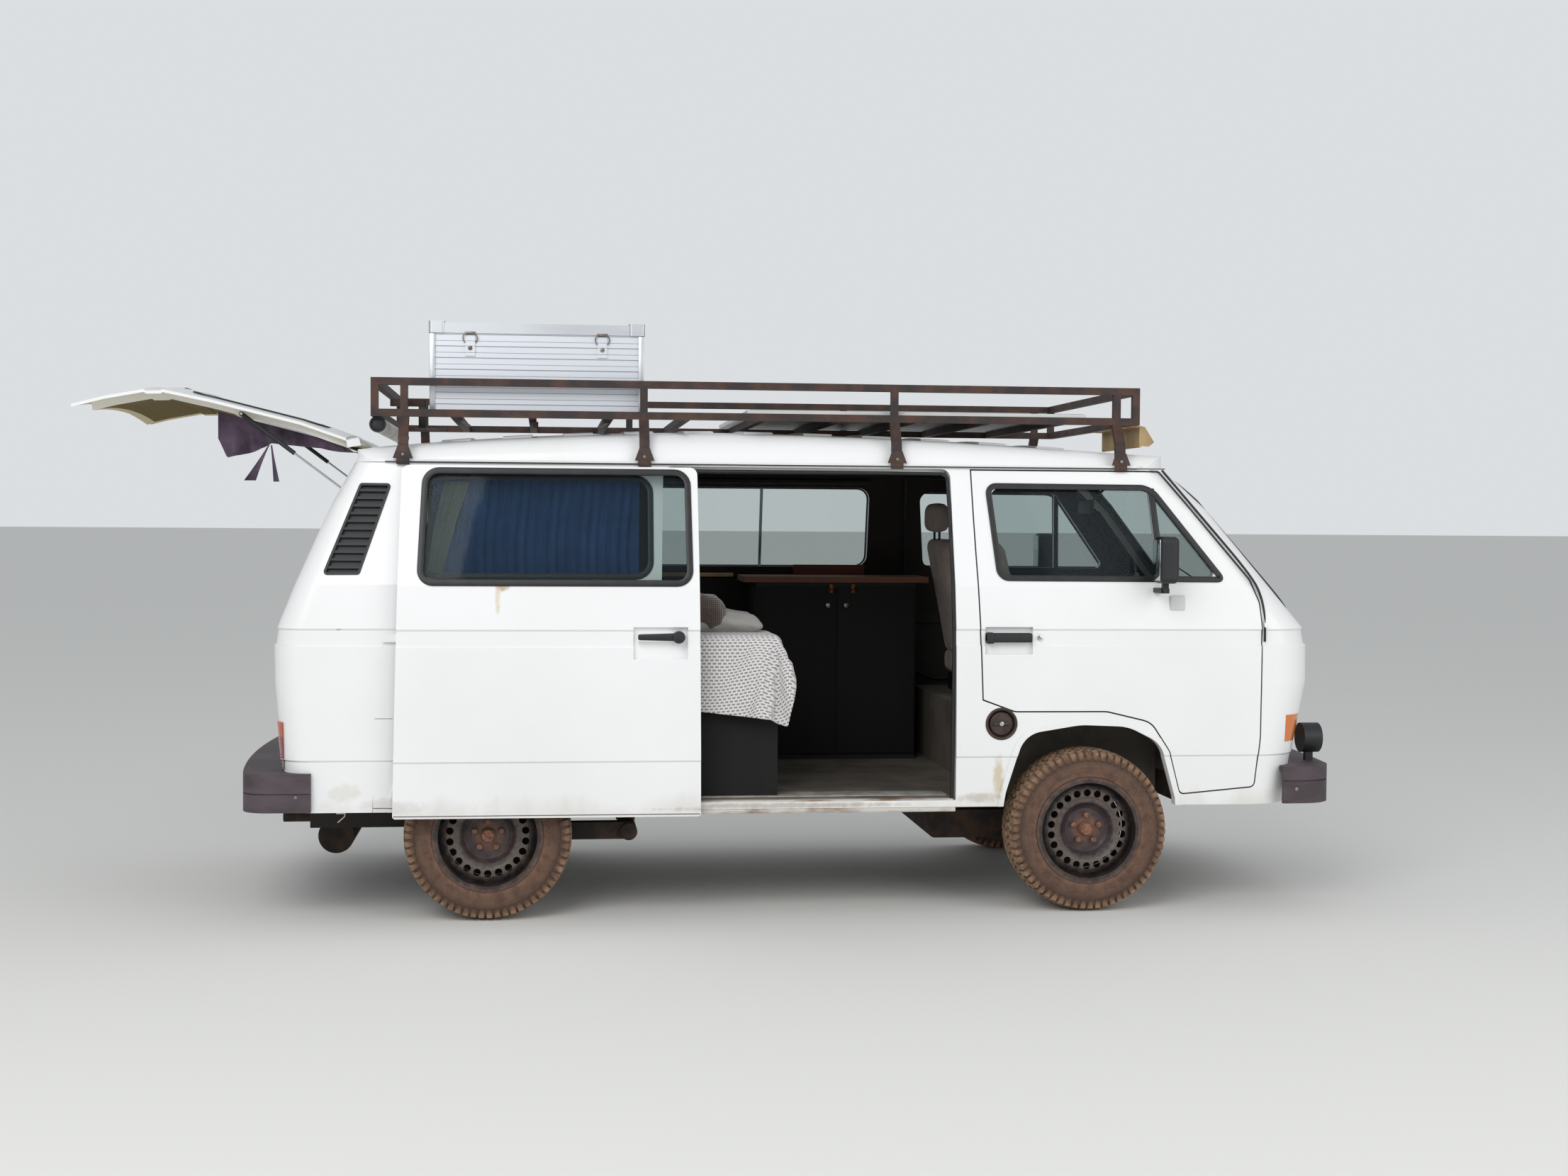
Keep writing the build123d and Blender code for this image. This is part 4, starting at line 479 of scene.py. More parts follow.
SLOT_FINISH = {
    "body_white": side_paint, "floor_grey": floor_vinyl, "window_glass": window_glass,
    "black_plastic": black_plastic, "lamp_glass": lamp_glass, "amber_plastic": amber_lens,
    "red_plastic": red_lens, "bumper_plastic": bumper_plastic, "cab_plastic": cab_plastic,
    "seat_fabric": seat_cloth, "birch_wood": birch, "mattress_fabric": mattress_cloth,
    "blanket_fabric": knit, "pillow_fabric": fleece, "curtain_fabric": blue_cotton,
    "dark_fabric": purple_cotton, "black_steel": rack_paint, "panel_white": frame_white,
    "pipe_white": pipe_white, "beige_plastic": beige, "case_aluminium": aluminium, "cast_metal": casting,
    "under_steel": under_steel, "rod_steel": rod_steel, "wheel_black": wheel_paint, "tyre_rubber": rubber,
}
# The bed's wood and the kitchen unit's lower part are nearly black: painted shade
NODE_FINISH = {
    "roof": roof_paint, "nose_panel": end_paint, "rear_panel": end_paint, "tailgate": gate_paint,
    "strut_cylinder_left": black_plastic, "strut_cylinder_right": black_plastic, "bed": shade_darkened_wood,
    "kitchen_unit": worktop_finish(), "case_tray": ribbed_finish(), "tail_lamps": tail_finish(),
}


def alone():
    """Object mode with nothing selected."""
    if bpy.context.object and bpy.context.object.mode != "OBJECT":
        bpy.ops.object.mode_set(mode="OBJECT")
    bpy.ops.object.select_all(action="DESELECT")


def pick(piece):
    """Makes one piece active and selected."""
    alone()
    piece.select_set(True)
    bpy.context.view_layer.objects.active = piece


def finished(piece, material, angle):
    """Gives a piece its one material and shades it smooth up to an angle in degrees."""
    pick(piece)
    piece.data.materials.clear()
    piece.data.materials.append(material)
    bpy.ops.object.shade_smooth_by_angle(angle=math.radians(angle))


for row in frame["record"]["subparts"]:
    node_finish = NODE_FINISH.get(row["node"], SLOT_FINISH[row["material_slot"]])
    finished(frame["nodes"][row["node"]], node_finish, 28)


def settled(piece):
    """Puts a piece's place, turn and size into its mesh."""
    pick(piece)
    bpy.ops.object.transform_apply(location=True, rotation=True, scale=True)
    return piece


def modified(piece, kind, **settings):
    """Applies one modifier to a piece."""
    pick(piece)
    modifier = piece.modifiers.new(kind.lower(), kind)
    for key, value in settings.items():
        setattr(modifier, key, value)
    bpy.ops.object.modifier_apply(modifier=modifier.name)
    return piece


def edited(piece, *steps):
    """Takes a piece through steps of edit mode, each with all of it selected."""
    pick(piece)
    bpy.ops.object.mode_set(mode="EDIT")
    for step, settings in steps:
        bpy.ops.mesh.select_all(action="SELECT")
        step(**settings)
    bpy.ops.object.mode_set(mode="OBJECT")
    return piece


def reshaped(piece, rule):
    """Moves each point by a rule from its x, y, z to new ones, in millimetres of the drawing."""
    for vertex in piece.data.vertices:
        vertex.co = spot(*rule((vertex.co.x - DX) * 1000, vertex.co.y * 1000, vertex.co.z * 1000))
    return piece


def dress(piece, name, material, body="van_body", angle=35):
    """Names a finished piece, gives it its material and body, and shades it."""
    finished(settled(piece), material, angle)
    piece.name = name
    piece.data.name = name
    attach(piece, body)
    return piece


def joined(pieces):
    """Joins several pieces into the first."""
    pick(pieces[0])
    for piece in pieces:
        piece.select_set(True)
    bpy.ops.object.join()
    return bpy.context.object


def slab(x, y, z, edge=2, segments=2):
    """A block between pairs of limits in millimetres, with rounded edges."""
    alone()
    bpy.ops.mesh.primitive_cube_add(size=1, location=spot(sum(x) / 2, sum(y) / 2, sum(z) / 2))
    piece = bpy.context.object
    piece.scale = [abs(high - low) / 1000 for low, high in (x, y, z)]
    settled(piece)
    if edge:
        modified(piece, "BEVEL", width=edge / 1000, segments=segments, limit_method="ANGLE")
    return piece


def aimed(piece, place, axis):
    """Turns a round piece from Z to an axis and moves it to its middle point."""
    piece.rotation_euler = Vector(axis).to_track_quat("Z", "Y").to_euler()
    piece.location = spot(*place)
    return settled(piece)


def disc(place, axis, radius, depth, edge=1, vertices=40):
    """A round plate or pin about a middle point, along an axis, in millimetres."""
    alone()
    bpy.ops.mesh.primitive_cylinder_add(vertices=vertices, radius=radius / 1000, depth=depth / 1000)
    piece = aimed(bpy.context.object, place, axis)
    return modified(piece, "BEVEL", width=edge / 1000, segments=2, limit_method="ANGLE", angle_limit=1.0)


def hoop(place, axis, radius, thick):
    """A ring of round section about a middle point."""
    alone()
    bpy.ops.mesh.primitive_torus_add(major_radius=radius / 1000, minor_radius=thick / 1000,
                                     major_segments=48, minor_segments=10)
    return aimed(bpy.context.object, place, axis)


def bent_rod(points, radius, smooth=True, sides=3):
    """A rod that follows points in millimetres; smooth rounds its bends."""
    alone()
    curve = bpy.data.curves.new("rod", "CURVE")
    curve.dimensions = "3D"
    curve.bevel_depth = radius / 1000
    curve.bevel_resolution = sides
    curve.use_fill_caps = True
    line = curve.splines.new("NURBS" if smooth else "POLY")
    line.points.add(len(points) - 1)
    for point, place in zip(line.points, points):
        point.co = (*spot(*place), 1)
    if smooth:
        line.order_u = 3
        line.use_endpoint_u = True
        line.resolution_u = 6
    piece = bpy.data.objects.new("rod", curve)
    bpy.context.scene.collection.objects.link(piece)
    pick(piece)
    bpy.ops.object.convert(target="MESH")
    return bpy.context.object


def outline_face(corners, radius):
    """A flat face in X and Z with rounded corners; corners are x, z in millimetres."""
    alone()
    bpy.ops.mesh.primitive_circle_add(vertices=len(corners), radius=1, fill_type="NGON")
    piece = bpy.context.object
    for vertex, (x, z) in zip(piece.data.vertices, corners):
        vertex.co = spot(x, 0, z)
    if radius:
        edited(piece, (bpy.ops.mesh.bevel, {"offset": radius / 1000, "segments": 7, "affect": "VERTICES",
                                            "clamp_overlap": True}))
    return piece


FACE_OUT = (bpy.ops.mesh.normals_make_consistent, {"inside": False})


def laid_on(piece, surface, thick, edge=2, proud=0):
    """Moves a flat piece onto a surface, given as a rule from x, z to a point, and thickens it."""
    edited(reshaped(piece, lambda x, y, z: surface(x, z, proud)), FACE_OUT)
    modified(piece, "SOLIDIFY", thickness=thick / 1000, offset=0)
    if edge:
        modified(piece, "BEVEL", width=edge / 1000, segments=2, limit_method="ANGLE", angle_limit=0.9)
    return piece


def copy_of(piece, name):
    """A copy with its own mesh."""
    twin = piece.copy()
    twin.data = piece.data.copy()
    twin.name = name
    bpy.context.scene.collection.objects.link(twin)
    return twin


def flipped(piece, name):
    """The mirror image on the other side of the van."""
    twin = copy_of(piece, name)
    twin.scale = (1, -1, 1)
    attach(edited(settled(twin), FACE_OUT), "van_body")


def opened(piece):
    """Turns a piece that was made for the shut tailgate to its open place."""
    pivot = Matrix.Translation(spot(GATE_HINGE[0], 0, GATE_HINGE[1]))
    piece.data.transform(pivot @ Matrix.Rotation(math.radians(GATE_OPEN), 4, "Y") @ pivot.inverted())


# Tyre: tread radius, depth of the grooves and number of shoulder blocks
TREAD_RADIUS = 336
GROOVE = 9
BLOCKS = 62
MIDDLE = Matrix.Translation(spot(0, 0, 0))
ROUND = {"angle": 2 * math.pi, "center": spot(0, 0, 0), "axis": ACROSS}
MERGE = (bpy.ops.mesh.remove_doubles, {"threshold": 0.00005})


def tread_block(low_y, high_y, length, lean=0):
    """One tread block above the hub: between two places across, length along the tread."""
    piece = slab((-length / 2, length / 2), (low_y, high_y), (TREAD_RADIUS - GROOVE - 2, TREAD_RADIUS), 1.4, 1)
    return reshaped(piece, lambda x, y, z: (x + lean * (y - low_y), y, z - 0.0011 * y * y))


def ring_of(piece, start):
    """Copies of a piece all round the wheel's axis, joined; start is a share of one block's step."""
    turn = Matrix.Rotation(start * 2 * math.pi / BLOCKS, 4, "Y")
    piece.data.transform(MIDDLE @ turn @ MIDDLE.inverted())
    return edited(piece, (bpy.ops.mesh.spin, {"steps": BLOCKS, "dupli": True, **ROUND}), MERGE)


def turned_form(profile, steps):
    """A closed profile of (y, radius) turned round the wheel's axis."""
    mesh = bpy.data.meshes.new("turned")
    count = len(profile)
    mesh.from_pydata([spot(0, y, r) for y, r in profile], [(i, (i + 1) % count) for i in range(count)], [])
    piece = bpy.data.objects.new("turned", mesh)
    bpy.context.scene.collection.objects.link(piece)
    return edited(piece, (bpy.ops.mesh.spin, {"steps": steps, **ROUND}), MERGE, FACE_OUT)


def biter_shape(x, y, z, sign):
    """A side lug's point: narrower towards the hub, drawn in at its outer end."""
    if z < 300:
        return x * 0.7, y, z
    return x, sign * 97.5 if abs(y) > 95 else y, z


def tyre_model():
    """All-terrain tyre on the Y axis at the drawing's middle: carcass, tread and shoulder blocks."""
    base = TREAD_RADIUS - GROOVE
    half = [(0, base), (40, base - 1.5), (76, base - 6), (86, base - 14), (95, 300), (101.5, 278), (102.5, 266),
            (101.8, 259), (100.4, 258), (100.8, 250), (98.5, 248), (98.5, 244), (96.5, 243), (96.2, 237),
            (94.6, 236), (94, 228), (90, 221), (87.7, 219), (87.7, 204)]
    pieces = [turned_form([(-y, r) for y, r in reversed(half)] + half[1:], 96)]
    for sign in (-1, 1):
        shoulder = tread_block(sign * 62, sign * 94, 22)
        reshaped(shoulder, lambda x, y, z: (x, y, z - 4 if abs(y) > 80 else z))
        biter = slab((-11, 11), (sign * 88, sign * 102.3), (289, 323), 1.5, 1)
        reshaped(biter, lambda x, y, z: biter_shape(x, y, z, sign))
        middle = tread_block(sign * 31, sign * 57, 19, 0.12 * sign)
        inner = tread_block(sign * 3, sign * 26, 21, -0.15 * sign)
        pieces += [ring_of(shoulder, 0.25 * sign), ring_of(biter, 0.25 * sign), ring_of(middle, 0.75 * sign),
                   ring_of(inner, 0.2 * sign)]
    return joined(pieces)


def fitted(master, name, material, end, side, sign):
    """A copy of a piece made on the Y axis, moved to one wheel with its outside outwards."""
    piece = copy_of(master, name)
    hub = spot(AXLE if end == "front" else -AXLE, sign * WHEEL_MIDDLE, HUB_HEIGHT)
    turn = Matrix.Rotation(0 if sign > 0 else math.pi, 4, "Z")
    piece.data.transform(Matrix.Translation(hub) @ turn @ MIDDLE.inverted())
    return dress(piece, name + "_" + end + "_" + side, material, "wheel_" + end + "_" + side, 40)


tyre_master = tyre_model()
shield_master = turned_form([(-46, 128), (-42, 128), (-42, 174), (-46, 174)], 64)
heads = [disc((56 * math.sin(turn), 42, 56 * math.cos(turn)), ACROSS, 12.5, 14, 2.5, 6)
         for turn in (2 * math.pi * step / 5 for step in range(5))]
bolt_master = joined(heads + [disc((0, 58, 0), ACROSS, 25.5, 8, 3, 10)])
for end in ("front", "rear"):
    for side, sign in reversed(SIDES):
        tyre = fitted(tyre_master, "all_terrain_tyre", rubber, end, side, sign)
        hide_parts("tyre_" + end + "_" + side)
        fitted(shield_master, "wheel_shield", under_steel, end, side, sign)
        fitted(bolt_master, "wheel_bolts", bolt_rust, end, side, sign)
for master in (tyre_master, shield_master, bolt_master):
    bpy.data.objects.remove(master)


def grown(corners, amount):
    """Corners of a convex outline moved out by amount."""
    count = len(corners)
    area = sum(corners[i][0] * corners[(i + 1) % count][1] - corners[(i + 1) % count][0] * corners[i][1]
               for i in range(count))
    way = 1 if area > 0 else -1
    result = []
    for i, (x, z) in enumerate(corners):
        normals = []
        for a, b in ((corners[i - 1], corners[i]), (corners[i], corners[(i + 1) % count])):
            dx, dz = b[0] - a[0], b[1] - a[1]
            size = math.hypot(dx, dz)
            normals.append((way * dz / size, -way * dx / size))
        (ax, az), (bx, bz) = normals
        scale = amount / (1 + ax * bx + az * bz)
        result.append((x + scale * (ax + bx), z + scale * (az + bz)))
    return result


def ring_on(name, corners, radius, inner, outer, surface, thick, body="van_body"):
    """A flat rubber seal along an outline, laid on a surface."""
    piece = outline_face(grown(corners, outer), radius + outer)
    pick(piece)
    bpy.ops.object.mode_set(mode="EDIT")
    bpy.ops.mesh.select_all(action="SELECT")
    bpy.ops.mesh.inset(thickness=(inner + outer) / 1000)
    bpy.ops.mesh.delete(type="FACE")
    bpy.ops.object.mode_set(mode="OBJECT")
    return dress(laid_on(piece, surface, thick, 3, 1), name, seal_rubber, body)


def panel_on(name, corners, radius, surface, thick, material, body="van_body", edge=2, proud=0):
    """A flat panel with rounded corners, laid on a surface."""
    return dress(laid_on(outline_face(corners, radius), surface, thick, edge, proud), name, material, body)


# Rubber seals of the fixed side windows: name, rear end, front end, surface
FIXED_WINDOWS = [
    ("seal_left_middle", -500, 565, far_side), ("seal_left_rear", -1490, -590, far_side),
    ("seal_right_rear", -1490, -590, near_side),
]
for seal_name, rear_end, front_end, surface in FIXED_WINDOWS:
    frame_corners = [(rear_end, 1385), (front_end, 1385), (front_end, 1768), (rear_end, 1768)]
    ring_on(seal_name, frame_corners, 55, 6, 18, surface, 9)
SLIDING_WINDOW = [(-442, 1362), (606, 1362), (598, 1790), (-425, 1790)]
ring_on("seal_sliding_door", SLIDING_WINDOW, 45, 6, 20, open_sliding_door, 10)
WINDSCREEN = [(-765, 1250), (765, 1250), (655, 1790), (-655, 1790)]
ring_on("seal_windscreen", WINDSCREEN, 90, 8, 22, front_face, 11)
GATE_WINDOW = [(-600, 1270), (600, 1270), (500, 1730), (-500, 1730)]
opened(ring_on("seal_tailgate", GATE_WINDOW, 80, 8, 20, rear_face, 10, "tailgate"))
DOOR_WINDOW = [(812, 1750), (848, 1385), (1768, 1382), (1490, 1748)]
QUARTER_BAR = [(1512, 1380), (1538, 1380), (1511, 1752), (1485, 1752)]
for side, surface in (("right", near_side), ("left", far_side)):
    ring_on("seal_door_" + side, DOOR_WINDOW, 30, 6, 18, surface, 9, "door_" + side)
    panel_on("quarter_bar_" + side, QUARTER_BAR, 0, surface, 9, seal_rubber, "door_" + side, 3)

# Black drip seals beside the doors, from the gutter down to the belt
DRIP_LINE = [(1548, 1828), (1730, 1606), (1908, 1386), (1946, 1300), (1957, 1200), (1957, 1120)]
for side, sign in SIDES:
    drip = bent_rod([(x, sign * (level(min(z, 1831), 1) + 7), z) for x, z in DRIP_LINE], 5)
    dress(drip, "drip_seal_" + side, seal_rubber)

# Door handles: black levers in their recesses, with chrome lock barrels
for side, sign in SIDES:
    lever = slab((783, 972), sorted((sign * 893, sign * 935)), (1117, 1155), 7, 3)
    tip = slab((783, 812), sorted((sign * 900, sign * 938)), (1112, 1158), 6, 3)
    dress(joined([lever, tip]), "door_lever_" + side, black_plastic, "door_" + side)
    lock = disc((1004, sign * 921, 1136), ACROSS, 10, 8)
    dress(lock, "door_lock_" + side, chrome, "door_" + side)
lever = slab((-640, -455), (-1012, -968), (1126, 1160), 8, 3)
reshaped(lever, lambda x, y, z: (x, y, 1143 + (z - 1143) * 0.72 if x < -560 else z))
knob = disc((-478, -1010, 1143), ACROSS, 25, 16, 4)
dress(joined([lever, knob]), "sliding_lever", black_plastic)

# Fuel filler: cup, ring and cap with its grip
filler_x, filler_y, filler_z = 849, -level(784, 1), 784
cup = disc((filler_x, filler_y + 28, filler_z), ACROSS, 63.4, 3)
ring = hoop((filler_x, filler_y + 1, filler_z), ACROSS, 61, 6)
cap = disc((filler_x, filler_y + 20, filler_z), ACROSS, 47, 33, 4)
grip = slab((filler_x - 35, filler_x + 35), (filler_y - 4, filler_y + 8), (filler_z - 8, filler_z + 8), 4)
dress(joined([cup, ring, cap, grip]), "filler_cap", filler_plastic)
dress(disc((filler_x, filler_y - 5, filler_z), ACROSS, 9, 4), "filler_lock", chrome)

# Mirror faces, and the foot of the near side's mirror
for side, sign in SIDES:
    face = slab((1459.5, 1463), sorted((sign * 972, sign * 1068)), (1375, 1541), 1)
    dress(face, "mirror_face_" + side, chrome, "door_" + side)
dress(slab((1553, 1618), (-916, -905), (1247, 1309), 8, 3), "mirror_foot", frame_white, "door_right")

# Front walls of the front wheel arches, and a hook below the near side's edge
for side, sign in SIDES:
    wall = slab((1643, 1652), sorted((sign * 390, sign * 850)), (434, 562), 1)
    dress(wall, "arch_wall_" + side, under_steel)
hook_wire = bent_rod([(-1789, -888, 440), (-1787, -888, 428), (-1800, -888, 417), (-1817, -888, 402)], 2)
hook_plate = slab((-1822, -1786), (-896, -880), (437, 441.5), 1)
dress(joined([hook_plate, hook_wire]), "edge_hook", sill_metal)

# Lower rail and tread plate of the side doorway
dress(slab((-560, 664), (-904, -880), (424, 441), 3), "sill_strip", sill_metal)
dress(slab((-548, 655), (-900, -862), (470, 476), 2), "sill_cap", sill_metal)
dress(slab((-500, 640), (-850, -716), (482.5, 486), 1), "tread_plate", tread_plate)


# Room kept round moving cloth, in metres
CLOTH_GAP = 0.004


def laid_grid(name, across, down, place):
    """A grid of faces whose points come from place(u, v), with u and v from 0 to 1."""
    alone()
    bpy.ops.mesh.primitive_grid_add(x_subdivisions=across, y_subdivisions=down, size=1)
    piece = bpy.context.object
    for vertex in piece.data.vertices:
        vertex.co = spot(*place(vertex.co.x + 0.5, vertex.co.y + 0.5))
    piece.name = name
    return piece


def cloth_on(piece, frames, mass=0.3, pressure=0.0, stiffness=15.0):
    """Lets a piece move as cloth and keeps the shape it comes to; under pressure it has no weight."""
    pick(piece)
    modifier = piece.modifiers.new("cloth", "CLOTH")
    cloth = modifier.settings
    cloth.quality = 6
    cloth.mass = mass
    cloth.tension_stiffness = stiffness
    cloth.compression_stiffness = stiffness
    cloth.shear_stiffness = stiffness * 0.4
    cloth.bending_stiffness = 0.4
    cloth.use_pressure = pressure > 0
    cloth.uniform_pressure_force = pressure
    cloth.effector_weights.gravity = 0.0 if pressure else 1.0
    modifier.collision_settings.use_collision = not pressure
    modifier.collision_settings.use_self_collision = not pressure
    modifier.collision_settings.distance_min = CLOTH_GAP
    modifier.collision_settings.self_distance_min = CLOTH_GAP
    modifier.point_cache.frame_start = 1
    modifier.point_cache.frame_end = frames
    for number in range(1, frames + 1):
        bpy.context.scene.frame_set(number)
    pick(piece)
    bpy.ops.object.modifier_apply(modifier="cloth")
    bpy.context.scene.frame_set(1)
    return piece


def stuffed(piece, voxel, pressure, cap, frames=16):
    """Swells a closed form like a filled cover; no point moves further than cap millimetres."""
    modified(piece, "REMESH", mode="VOXEL", voxel_size=voxel / 1000)
    before = [vertex.co.copy() for vertex in piece.data.vertices]
    cloth_on(piece, frames, pressure=pressure)
    for vertex, start in zip(piece.data.vertices, before):
        move = vertex.co - start
        if move.length > cap / 1000:
            vertex.co = start + move.normalized() * (cap / 1000)
    return modified(piece, "SMOOTH", factor=0.5, iterations=3)


def padded_piece(piece, name, material, node=None):
    """Finishes a padded piece; node is the plain CAD solid that it stands for."""
    modified(piece, "SUBSURF", levels=1, render_levels=1)
    dress(piece, name, material, angle=60)
    if node:
        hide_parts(node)


# Front seats: cushion, back with wings, and a headrest on two rods
SEAT_Y = 430
BACK_HEIGHT = 565
BACK_HALF = 226


def back_shape(x, y, z, middle):
    """The seat back: leaning and thinner upwards, narrower at its shoulders, with raised wings in front."""
    share = z / BACK_HEIGHT
    wing = 18 * (abs(y) / BACK_HALF) ** 4 if x > 60 else 0
    return x * (1 - 0.2 * share) + wing + 930 - 118 * share, middle + y * (1 - 0.14 * share ** 2), 966 + z


for side, sign in SIDES:
    middle = sign * SEAT_Y
    cushion = slab((908, 1452), (middle - 230, middle + 230), (886, 1003), 40, 4)
    back = slab((0, 118), (-BACK_HALF, BACK_HALF), (0, BACK_HEIGHT), 40, 4)
    reshaped(back, lambda x, y, z: back_shape(x, y, z, middle))
    head = slab((792, 876), (middle - 126, middle + 126), (1560, 1694), 34, 4)
    reshaped(head, lambda x, y, z: (x, middle + (y - middle) * (1 - 0.1 * (z - 1560) / 134), z))
    for piece, part, cap in ((cushion, "cushion", 8), (back, "back", 6), (head, "headrest", 5)):
        padded_piece(stuffed(piece, 10, 3.0, cap), "seat_" + part + "_" + side, seat_cloth)
    pedestal = slab((935, 1415), (middle - 205, middle + 205), (800.5, 882), 8)
    posts = [bent_rod([(836, middle + y, 1505), (836, middle + y, 1580)], 6, False) for y in (-60, 60)]
    seat_base = dress(joined([pedestal] + posts), "seat_base_" + side, black_plastic)
    if side == "right":
        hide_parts("front_seats")


def pad_shape(x, y, z):
    """The mattress: its rear end follows the bowed tailgate."""
    share = min(1, max(0, (-1600 - x) / 450))
    return x + share * (rear_face(y, 1080, 0)[0] - rear_face(0, 1080, 0)[0]), y, z


pad = slab((-2054, -67), (-850, 413), (1034, 1126), 26, 3)
pad = reshaped(modified(pad, "REMESH", mode="VOXEL", voxel_size=0.04), pad_shape)
padded_piece(stuffed(pad, 24, 2.0, 3, 8), "mattress_pad", mattress_cloth, "mattress")


def crumpled(piece, height, size):
    """Moves the points of a piece along their normals by soft noise; sizes in millimetres."""
    noise = bpy.data.textures.new("crumple", "CLOUDS")
    noise.noise_scale = size / 1000
    noise.noise_depth = 2
    return modified(piece, "DISPLACE", texture=noise, strength=height / 1000, mid_level=0.5)


# Blanket: a crocheted square that hangs over the near front corner of the mattress
COVER_MIDDLE = (-313, -755)
COVER_SIZE = (694, 650)
COVER_TURN = math.radians(-7)
alone()
bpy.ops.mesh.primitive_uv_sphere_add(segments=32, ring_count=20, radius=1, location=spot(-148, -802, 1015))
bulge = bpy.context.object
bulge.scale = (0.082, 0.080, 0.112)
settled(bulge)
helper = joined([slab((-1000, -64), (-853, 300), (600, 1131), 18, 3), bulge])
helper.modifiers.new("collision", "COLLISION")
helper.collision.thickness_outer = 0.003
helper.collision.cloth_friction = 40


def cover_place(u, v):
    """A point of the flat blanket just above the mattress, with a slight wave."""
    along = COVER_SIZE[0] * (u - 0.5)
    over = COVER_SIZE[1] * (v - 0.5)
    x = COVER_MIDDLE[0] + along * math.cos(COVER_TURN) - over * math.sin(COVER_TURN)
    y = COVER_MIDDLE[1] + along * math.sin(COVER_TURN) + over * math.cos(COVER_TURN)
    return x, y, 1142 + 3 * math.sin(x * 0.021) + 3 * math.sin(y * 0.017 + x * 0.008)


cover = laid_grid("crochet_blanket", 66, 60, cover_place)
cloth_on(cover, 44, mass=0.4, stiffness=120.0)
bpy.data.objects.remove(helper)
modified(cover, "SOLIDIFY", thickness=0.006, offset=1)
modified(cover, "SUBSURF", levels=1, render_levels=1)
dress(cover, "crochet_blanket", knit, angle=60)
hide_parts("blanket")

# Pillow in a grey slip, and a brown fleece bundled on it
pillow = slab((-420, -92), (-690, -300), (1150, 1240), 36, 4)
reshaped(pillow, lambda x, y, z: (x, y, 1150 + (z - 1150) * (1 - 0.6 * max(0, x + 280) / 188)))
padded_piece(crumpled(stuffed(pillow, 10, 5.0, 16), 9, 60), "grey_pillow", grey_cotton)
bundle = stuffed(slab((-560, -255), (-700, -330), (1166, 1286), 44, 4), 10, 5.0, 10)
padded_piece(crumpled(bundle, 26, 70), "fleece_bundle", fleece, "pillow")


def folds(along, count, deep):
    """Depth of a row of cloth folds at a share of its width."""
    turn = 2 * math.pi * count * along
    return deep * (math.sin(turn) + 0.35 * math.sin(2.3 * turn + 1.1))


def hung_sheet(name, across, down, place, material, body="van_body", node=None):
    """A cloth sheet from a rule of u across and v upwards."""
    piece = laid_grid(name, across, down, place)
    tall = sum((Vector(place(0.5, i / 20)) - Vector(place(0.5, (i + 1) / 20))).length for i in range(20)) / 1000
    modified(piece, "SOLIDIFY", thickness=0.0012, offset=0)
    dress(piece, name, material, body, 60)
    if node:
        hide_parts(node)


# Curtains: dark blue behind the sliding door's window and at the far side, and a light one tied back
CURTAIN_TOP = 1786
CURTAIN_LOW = 1334
CURTAIN_Y = 723
for side, sign, ends, count in (("right", -1, (-1455, -625), 20), ("left", 1, (-1476, -1255), 6)):
    def curtain_place(u, v, sign=sign, ends=ends, count=count):
        """A point of a gathered curtain; v is 1 at its rod."""
        x = ends[0] + (ends[1] - ends[0]) * u
        deep = folds(u + 0.012 * math.sin(5 * v), count, 9 + 4 * (1 - v))
        return x, sign * (CURTAIN_Y - deep), CURTAIN_LOW + (CURTAIN_TOP - CURTAIN_LOW) * v

    hung_sheet("blue_curtain_" + side, count * 14, 14, curtain_place, blue_cotton,
               node="curtains" if side == "right" else None)


def tied_place(u, v):
    """A point of the light curtain, which leans back to its tie."""
    x = -1478 + 70 * v ** 1.5 + u * (55 + 45 * v)
    return x, -(CURTAIN_Y + 24 - folds(u, 3, 4)), CURTAIN_LOW + (CURTAIN_TOP - 30 - CURTAIN_LOW) * v


hung_sheet("light_curtain", 40, 14, tied_place, grey_cotton)


# Lower face of the open tailgate: a place on it and its fall towards the hinge
GATE_LOW = (-2300, 2030)
GATE_FALL = 0.2545
# The tailgate's cloth: its rear end and its length, in millimetres
CLOTH_REAR = -2322
CLOTH_LENGTH = 504


def gate_under(x):
    """Height of the open tailgate's lower face at x."""
    return GATE_LOW[1] - GATE_FALL * (x - GATE_LOW[0])


def between(x, points):
    """Value at x on a line through points of (x, value)."""
    for (a, low), (b, high) in zip(points, points[1:]):
        if x <= b:
            return low + (high - low) * (x - a) / (b - a)
    return points[-1][1]


# Black-out cloth of the tailgate: a flap down its near edge, a taut part under the pane, and two ties
FLAP_EDGE = [(-2322, 1925), (-2292, 1848), (-2187, 1872), (-2112, 1907), (-1950, 1893), (-1818, 1880)]


def flap_place(u, v):
    """A point of the flap; v is 1 where it is fastened."""
    x = CLOTH_REAR + CLOTH_LENGTH * u
    low = between(x, FLAP_EDGE)
    share = 1 - v
    y = -582 + folds(u, 6, 11) * share + 6 * math.sin(9 * u) * share
    return x + 10 * share * math.sin(7 * u), y, low + (gate_under(x) - 1 - low) * v


def taut_place(u, v):
    """A point of the cloth under the pane."""
    x = CLOTH_REAR + CLOTH_LENGTH * u
    y = -560 + 1140 * v
    sag = 14 + 26 * math.sin(math.pi * u) * math.sin(math.pi * v) + 5 * math.sin(11 * u + 9 * v)
    return x, y, gate_under(x) - sag
